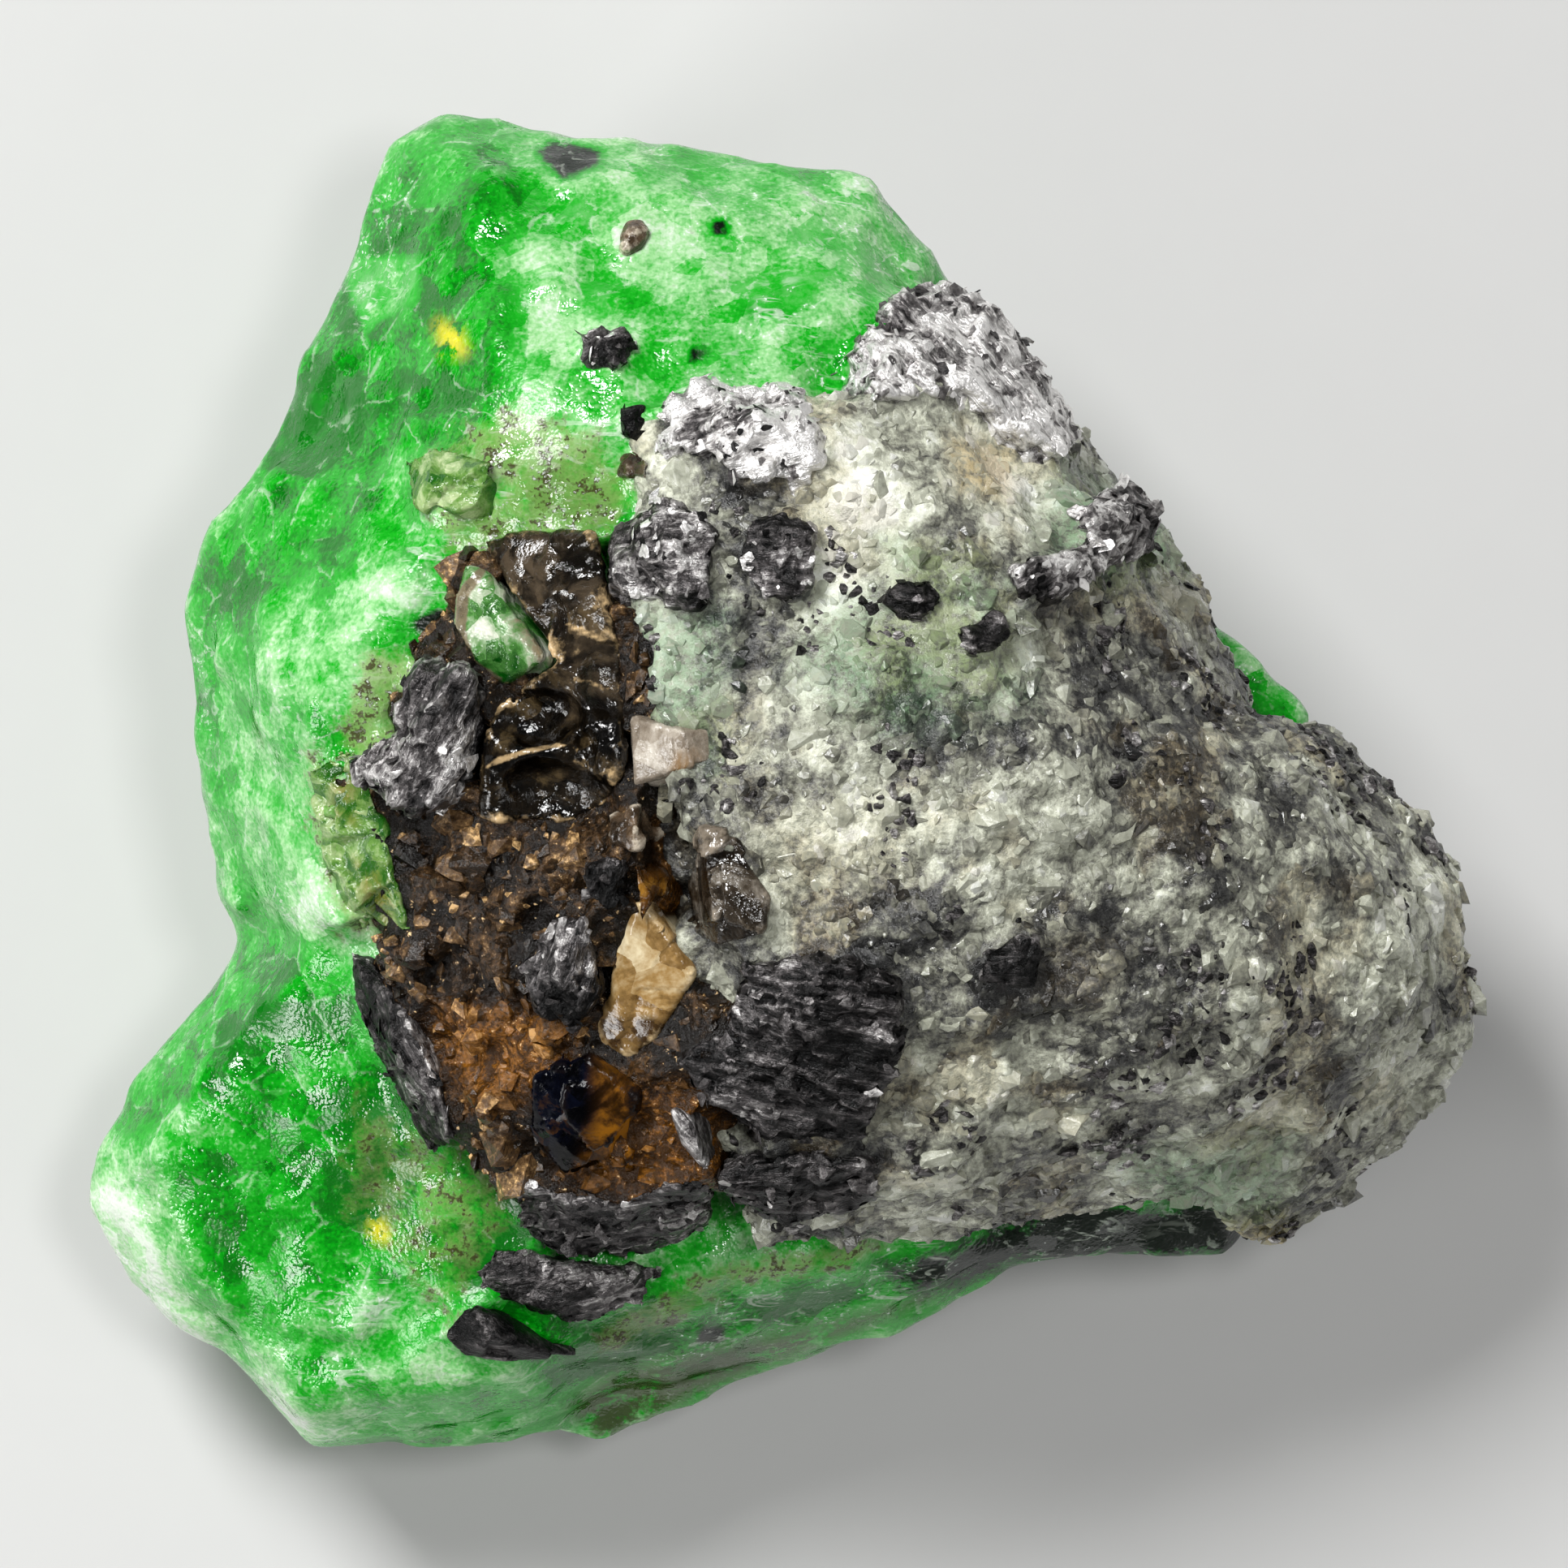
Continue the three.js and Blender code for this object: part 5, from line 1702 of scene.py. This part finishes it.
@dataclass
class Garnet:
    """The green garnet crystals that carry everything else."""

    node: str = "tsavorite"
    voxel: float = 0.155
    patches: tuple[Patch, ...] = (
        Patch(Zone.DEEP, ((0.26, 0.98), (0.34, 0.98), (0.35, 0.92), (0.33, 0.88), (0.35, 0.83), (0.33, 0.8),
                          (0.24, 0.82), (0.21, 0.85), (0.22, 0.91)), 0.7),
        Patch(Zone.DEEP, ((0.18, 0.82), (0.3, 0.82), (0.35, 0.79), (0.27, 0.75), (0.19, 0.71), (0.15, 0.69),
                          (0.15, 0.74)), 0.6),
        Patch(Zone.DEEP, ((0.09, 0.67), (0.15, 0.72), (0.25, 0.74), (0.24, 0.69), (0.21, 0.66),
                          (0.15, 0.63),
                          (0.1, 0.62)), 0.5),
        Patch(Zone.DEEP, ((0.13, 0.38), (0.22, 0.36), (0.22, 0.3), (0.15, 0.3), (0.1, 0.26),
                          (0.08, 0.27)), 0.5),
        Patch(Zone.DEEP, ((0.15, 0.24), (0.23, 0.28), (0.25, 0.21), (0.21, 0.12), (0.13, 0.09),
                          (0.08, 0.14),
                          (0.06, 0.21)), 0.8, 0.7),
        Patch(Zone.DEEP, ((0.35, 0.07), (0.43, 0.12), (0.56, 0.13), (0.66, 0.15), (0.66, 0.12),
                          (0.56, 0.09),
                          (0.46, 0.07), (0.39, 0.05)), 0.4),
        Patch(Zone.DEEP, ((0.25, 0.63), (0.3, 0.62), (0.32, 0.56), (0.29, 0.58), (0.24, 0.6)), 0.3),
        # painted shade: the dark band along the garnet's lower edge, where it turns under
        Patch(Zone.SHADE, ((0.65, 0.14), (0.79, 0.18), (0.96, 0.18), (0.95, 0.15), (0.78, 0.14),
                           (0.68, 0.11)), 0.5),
        Patch(Zone.SHADE, ((0.37, 0.97), (0.38, 0.98), (0.42, 0.97), (0.42, 0.96), (0.39, 0.95)), 0.15),
        Patch(Zone.SHADE, ((0.27, 0.62), (0.3, 0.63), (0.3, 0.61), (0.28, 0.61)), 0.15),
        Patch(Zone.MILKY, ((0.35, 0.97), (0.5, 0.96), (0.62, 0.94), (0.7, 0.88), (0.63, 0.84), (0.56, 0.84),
                           (0.43, 0.86), (0.38, 0.92)), 1.0),
        Patch(Zone.MILKY, ((0.3, 0.74), (0.39, 0.78), (0.47, 0.79), (0.56, 0.82), (0.61, 0.82),
                           (0.59, 0.79),
                           (0.51, 0.78), (0.45, 0.72), (0.35, 0.69)), 0.6, 0.15),
        Patch(Zone.DEEP, ((0.37, 0.81), (0.46, 0.82), (0.48, 0.78), (0.44, 0.76), (0.38, 0.77)), 0.6, 0.9),
        Patch(Zone.MILKY, ((0.6, 0.93), (0.71, 0.9), (0.73, 0.84), (0.62, 0.83), (0.58, 0.88)), 0.6, 0.4),
        Patch(Zone.MILKY, ((0.33, 0.91), (0.43, 0.9), (0.45, 0.83), (0.35, 0.82)), 0.5, 0.8),
        Patch(Zone.DEEP, ((0.53, 0.87), (0.6, 0.875), (0.6, 0.85), (0.54, 0.845)), 0.25, 1.2),
        Patch(Zone.MILKY, ((0.08, 0.63), (0.16, 0.6), (0.19, 0.54), (0.2, 0.38), (0.1, 0.42)), 0.18, 0.35),
        Patch(Zone.MILKY, ((0.16, 0.63), (0.25, 0.65), (0.3, 0.61), (0.26, 0.56), (0.22, 0.55),
                           (0.18, 0.58)), 0.4, 0.5),
        # painted shade: more of the band along the lower edge
        Patch(Zone.SHADE, ((0.41, 0.085), (0.5, 0.1), (0.62, 0.125), (0.9, 0.16), (0.9, 0.12), (0.6, 0.08),
                           (0.48, 0.055), (0.38, 0.055)), 0.3, 0.22),
        Patch(Zone.SHADE, ((0.22, 0.05), (0.33, 0.05), (0.33, 0.03), (0.24, 0.02)), 0.3, 0.2),
        Patch(Zone.SHADE, ((0.512, 0.917), (0.522, 0.917), (0.522, 0.908), (0.512, 0.908)), 0.1),
        Patch(Zone.SHADE, ((0.494, 0.82), (0.502, 0.82), (0.502, 0.813), (0.494, 0.813)), 0.1),
        Patch(Zone.SHADE, ((0.5, 0.092), (0.52, 0.092), (0.52, 0.08), (0.5, 0.08)), 0.15, 0.8),
        Patch(Zone.MILKY, ((0.0, 0.19), (0.02, 0.21), (0.08, 0.12), (0.15, 0.06), (0.19, 0.01),
                           (0.16, 0.01),
                           (0.09, 0.08), (0.01, 0.13)), 0.25, 1.3),
        Patch(Zone.MILKY, ((0.23, 0.12), (0.33, 0.07), (0.35, 0.03), (0.27, 0.02), (0.19, 0.03)), 0.7, 0.6),
        Patch(Zone.MILKY, ((0.21, 0.89), (0.27, 0.89), (0.27, 0.86), (0.23, 0.84)), 0.3, 1.7),
        Patch(Zone.OLIVE, ((0.23, 0.6), (0.3, 0.6), (0.27, 0.54), (0.22, 0.5), (0.21, 0.54)), 0.4),
        Patch(Zone.OLIVE, ((0.18, 0.53), (0.22, 0.5), (0.25, 0.38), (0.21, 0.39), (0.19, 0.45)), 0.4),
        Patch(Zone.OLIVE, ((0.22, 0.27), (0.35, 0.21), (0.35, 0.18), (0.3, 0.09), (0.21, 0.18),
                           (0.21, 0.24)), 0.6, 0.7),
        Patch(Zone.OLIVE, ((0.27, 0.74), (0.34, 0.78), (0.42, 0.76), (0.46, 0.71), (0.42, 0.67),
                           (0.3, 0.66)), 0.5, 0.95),
        Patch(Zone.OLIVE, ((0.41, 0.09), (0.51, 0.14), (0.66, 0.17), (0.64, 0.14), (0.53, 0.12),
                           (0.43, 0.07)), 0.3, 0.8),
        Patch(Zone.LEDGE, ((0.39, 0.03), (0.43, 0.06), (0.53, 0.08), (0.63, 0.1), (0.7, 0.12), (0.63, 0.09),
                           (0.5, 0.04), (0.42, 0.0)), 0.3),
        # painted highlights: the two small yellow glints
        Patch(Zone.RUST_AND_GLINT, ((0.29, 0.84), (0.305, 0.833), (0.31, 0.82), (0.295, 0.822)), 0.3, 1.6),
        Patch(Zone.RUST_AND_GLINT, ((0.235, 0.172), (0.243, 0.17), (0.245, 0.16), (0.235, 0.162)), 0.25, 1.5),
    )

    def build(self, neighbours: Neighbours) -> None:
        """Makes the garnet.

        Args:
            neighbours: The minerals made before it.
        """
        skin = Skin.of_node(self.node, self.voxel).closed(self.voxel, 0.6)
        skin.relax(2)
        noise = Field(11)
        rim = skin.ridges(6)
        clear = eased(neighbours.clearance(skin, self.voxel), 0.0, 0.8)
        shattered = eased(noise.rough(skin.points + 7.0, 1.9, 3), -0.05, 0.45)
        heights = 0.05 * noise.rough(skin.points, 2.6, 3) + noise.facets(skin.points, 2.2, 0.1)
        heights += noise.facets(skin.points + 40.0, 0.8, 0.05) * (1.0 + 3.0 * shattered)
        heights -= 0.07 * np.clip(rim, 0.0, 1.0) * eased(noise.rough(skin.points, 0.9, 3), -0.1, 0.5)
        skin.push(np.where(heights > 0.0, heights * clear, heights))
        skin = skin.seated(neighbours, self.voxel)
        skin.points[:, 2] = np.maximum(skin.points[:, 2], 0.0)
        skin.zone(self.patches)
        self.cloud(skin, noise)
        piece = skin.to_object("tsavorite_surface", GarnetFinish().material())
        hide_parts(self.node)

    def cloud(self, skin: Skin, noise: Field) -> None:
        """Marks how pale and how cracked the garnet is at each point.

        Args:
            skin: The garnet's skin.
            noise: Where its clouds come from.
        """
        marks = skin.marks
        points = noise.warped(skin.points, 3.0, 1.2)
        lumps = noise.rough(points, 2.6, 5)
        # painted glow: the ridges term makes its edges and ridges paler
        marks["depth"] = (
            0.44 + 0.24 * lumps - 0.24 * marks["deep"] + 0.22 * marks["milky"] - 0.8 * marks["shade"]
            + 0.15 * np.clip(skin.ridges(5), 0.0, 1.0)
        )
        bundles = noise.rough(points + 90.0, 2.2, 2)
        marks["veil"] = eased(bundles + 0.4 * marks["milky"], 0.05, 0.6)


# ---------------------------------------------------------------- studio


@dataclass(frozen=True)
class Softbox:
    """A square soft light aimed at the specimen."""

    name: str
    azimuth: float  # degrees round from +X
    elevation: float  # degrees above the floor
    away: float  # metres from the specimen
    side: float  # metres across
    power: float  # watts

    def build(self, target: Vector) -> None:
        """Places the light and aims it at `target`.

        Args:
            target: What it is aimed at, in metres.
        """
        lamp = bpy.data.lights.new(self.name, "AREA")
        lamp.size = self.side
        lamp.energy = self.power
        turn, rise = math.radians(self.azimuth), math.radians(self.elevation)
        heading = Vector((math.cos(turn) * math.cos(rise), math.sin(turn) * math.cos(rise), math.sin(rise)))
        holder = bpy.data.objects.new(self.name, lamp)
        holder.location = target + heading * self.away
        holder.rotation_euler = heading.to_track_quat("Z", "Y").to_euler()
        bpy.context.scene.collection.objects.link(holder)


@dataclass
class Studio:
    """Floor, soft lights and a camera that looks straight down."""

    span: float = 31.4  # millimetres that the picture is across
    away: float = 500.0  # millimetres from the camera to the specimen's middle
    sensor: float = 36.0
    floor: float = 0.55  # metres from the middle to where the card curls up
    curl: float = 0.3  # radius of the curl in metres
    sky: float = 0.08
    softboxes: tuple[Softbox, ...] = (
        Softbox("key", 125, 50, 0.4, 0.13, 1.6),
        Softbox("top", 20, 78, 0.6, 0.1, 0.75),
        Softbox("fill", -30, 40, 0.45, 0.2, 0.2),
        Softbox("low", 205, 22, 0.35, 0.12, 0.5),
    )

    def card(self, steps: int = 96, rings: int = 12) -> None:
        """Makes the floor: a round card that curls up all round.

        Args:
            steps: Sides of its round.
            rings: Steps of its curl.
        """
        rise = np.linspace(0.0, math.pi / 2.0, rings)
        radii = np.concatenate([self.floor + self.curl * np.sin(rise), [self.floor + self.curl]])
        heights = np.concatenate([self.curl * (1.0 - np.cos(rise)), [2.5 * self.curl]])
        around = np.linspace(0.0, 2.0 * math.pi, steps, endpoint=False)
        points = [(0.0, 0.0, 0.0)]
        points += [(r * math.cos(a), r * math.sin(a), h) for r, h in zip(radii, heights) for a in around]
        faces = [(0, 1 + step, 1 + (step + 1) % steps) for step in range(steps)]
        for ring in range(rings):
            low, high = 1 + ring * steps, 1 + (ring + 1) * steps
            for step in range(steps):
                after = (step + 1) % steps
                faces.append((low + step, high + step, high + after, low + after))
        mesh = bpy.data.meshes.new("floor")
        mesh.from_pydata(points, [], faces)
        mesh.shade_smooth()
        mesh.materials.append(FloorFinish().material())
        card = bpy.data.objects.new("floor", mesh)
        bpy.context.scene.collection.objects.link(card)

    def build(self) -> None:
        """Makes the floor, the lights and the camera."""
        low, high = cad_box
        target = (low + high) / 2.0
        self.card()
        world = bpy.data.worlds.new("sky")
        world.use_nodes = True
        world.node_tree.nodes["Background"].inputs["Color"].default_value = (1.0, 1.0, 1.0, 1.0)
        world.node_tree.nodes["Background"].inputs["Strength"].default_value = self.sky
        bpy.context.scene.world = world
        for softbox in self.softboxes:
            softbox.build(target)
        lens = bpy.data.cameras.new("camera")
        lens.sensor_width = self.sensor
        lens.lens = self.sensor * self.away / self.span
        camera = bpy.data.objects.new("camera", lens)
        camera.location = (target.x, target.y, target.z + self.away / MM)
        scene = bpy.context.scene
        scene.collection.objects.link(camera)
        scene.camera = camera
        scene.view_settings.view_transform = "Standard"
        scene.cycles.max_bounces = 3
        scene.cycles.diffuse_bounces = 1
        scene.cycles.glossy_bounces = 1
        scene.cycles.transmission_bounces = 2


def main() -> None:
    """Builds the specimen piece by piece and sets up the studio."""
    logging.basicConfig(level=logging.INFO, format="%(message)s")
    neighbours = Neighbours()
    SetGrains().build(neighbours)
    Gneiss().build(neighbours)
    Crust().build(neighbours)
    Garnet().build(neighbours)
    Studio().build()


if __name__ == "__main__":
    main()
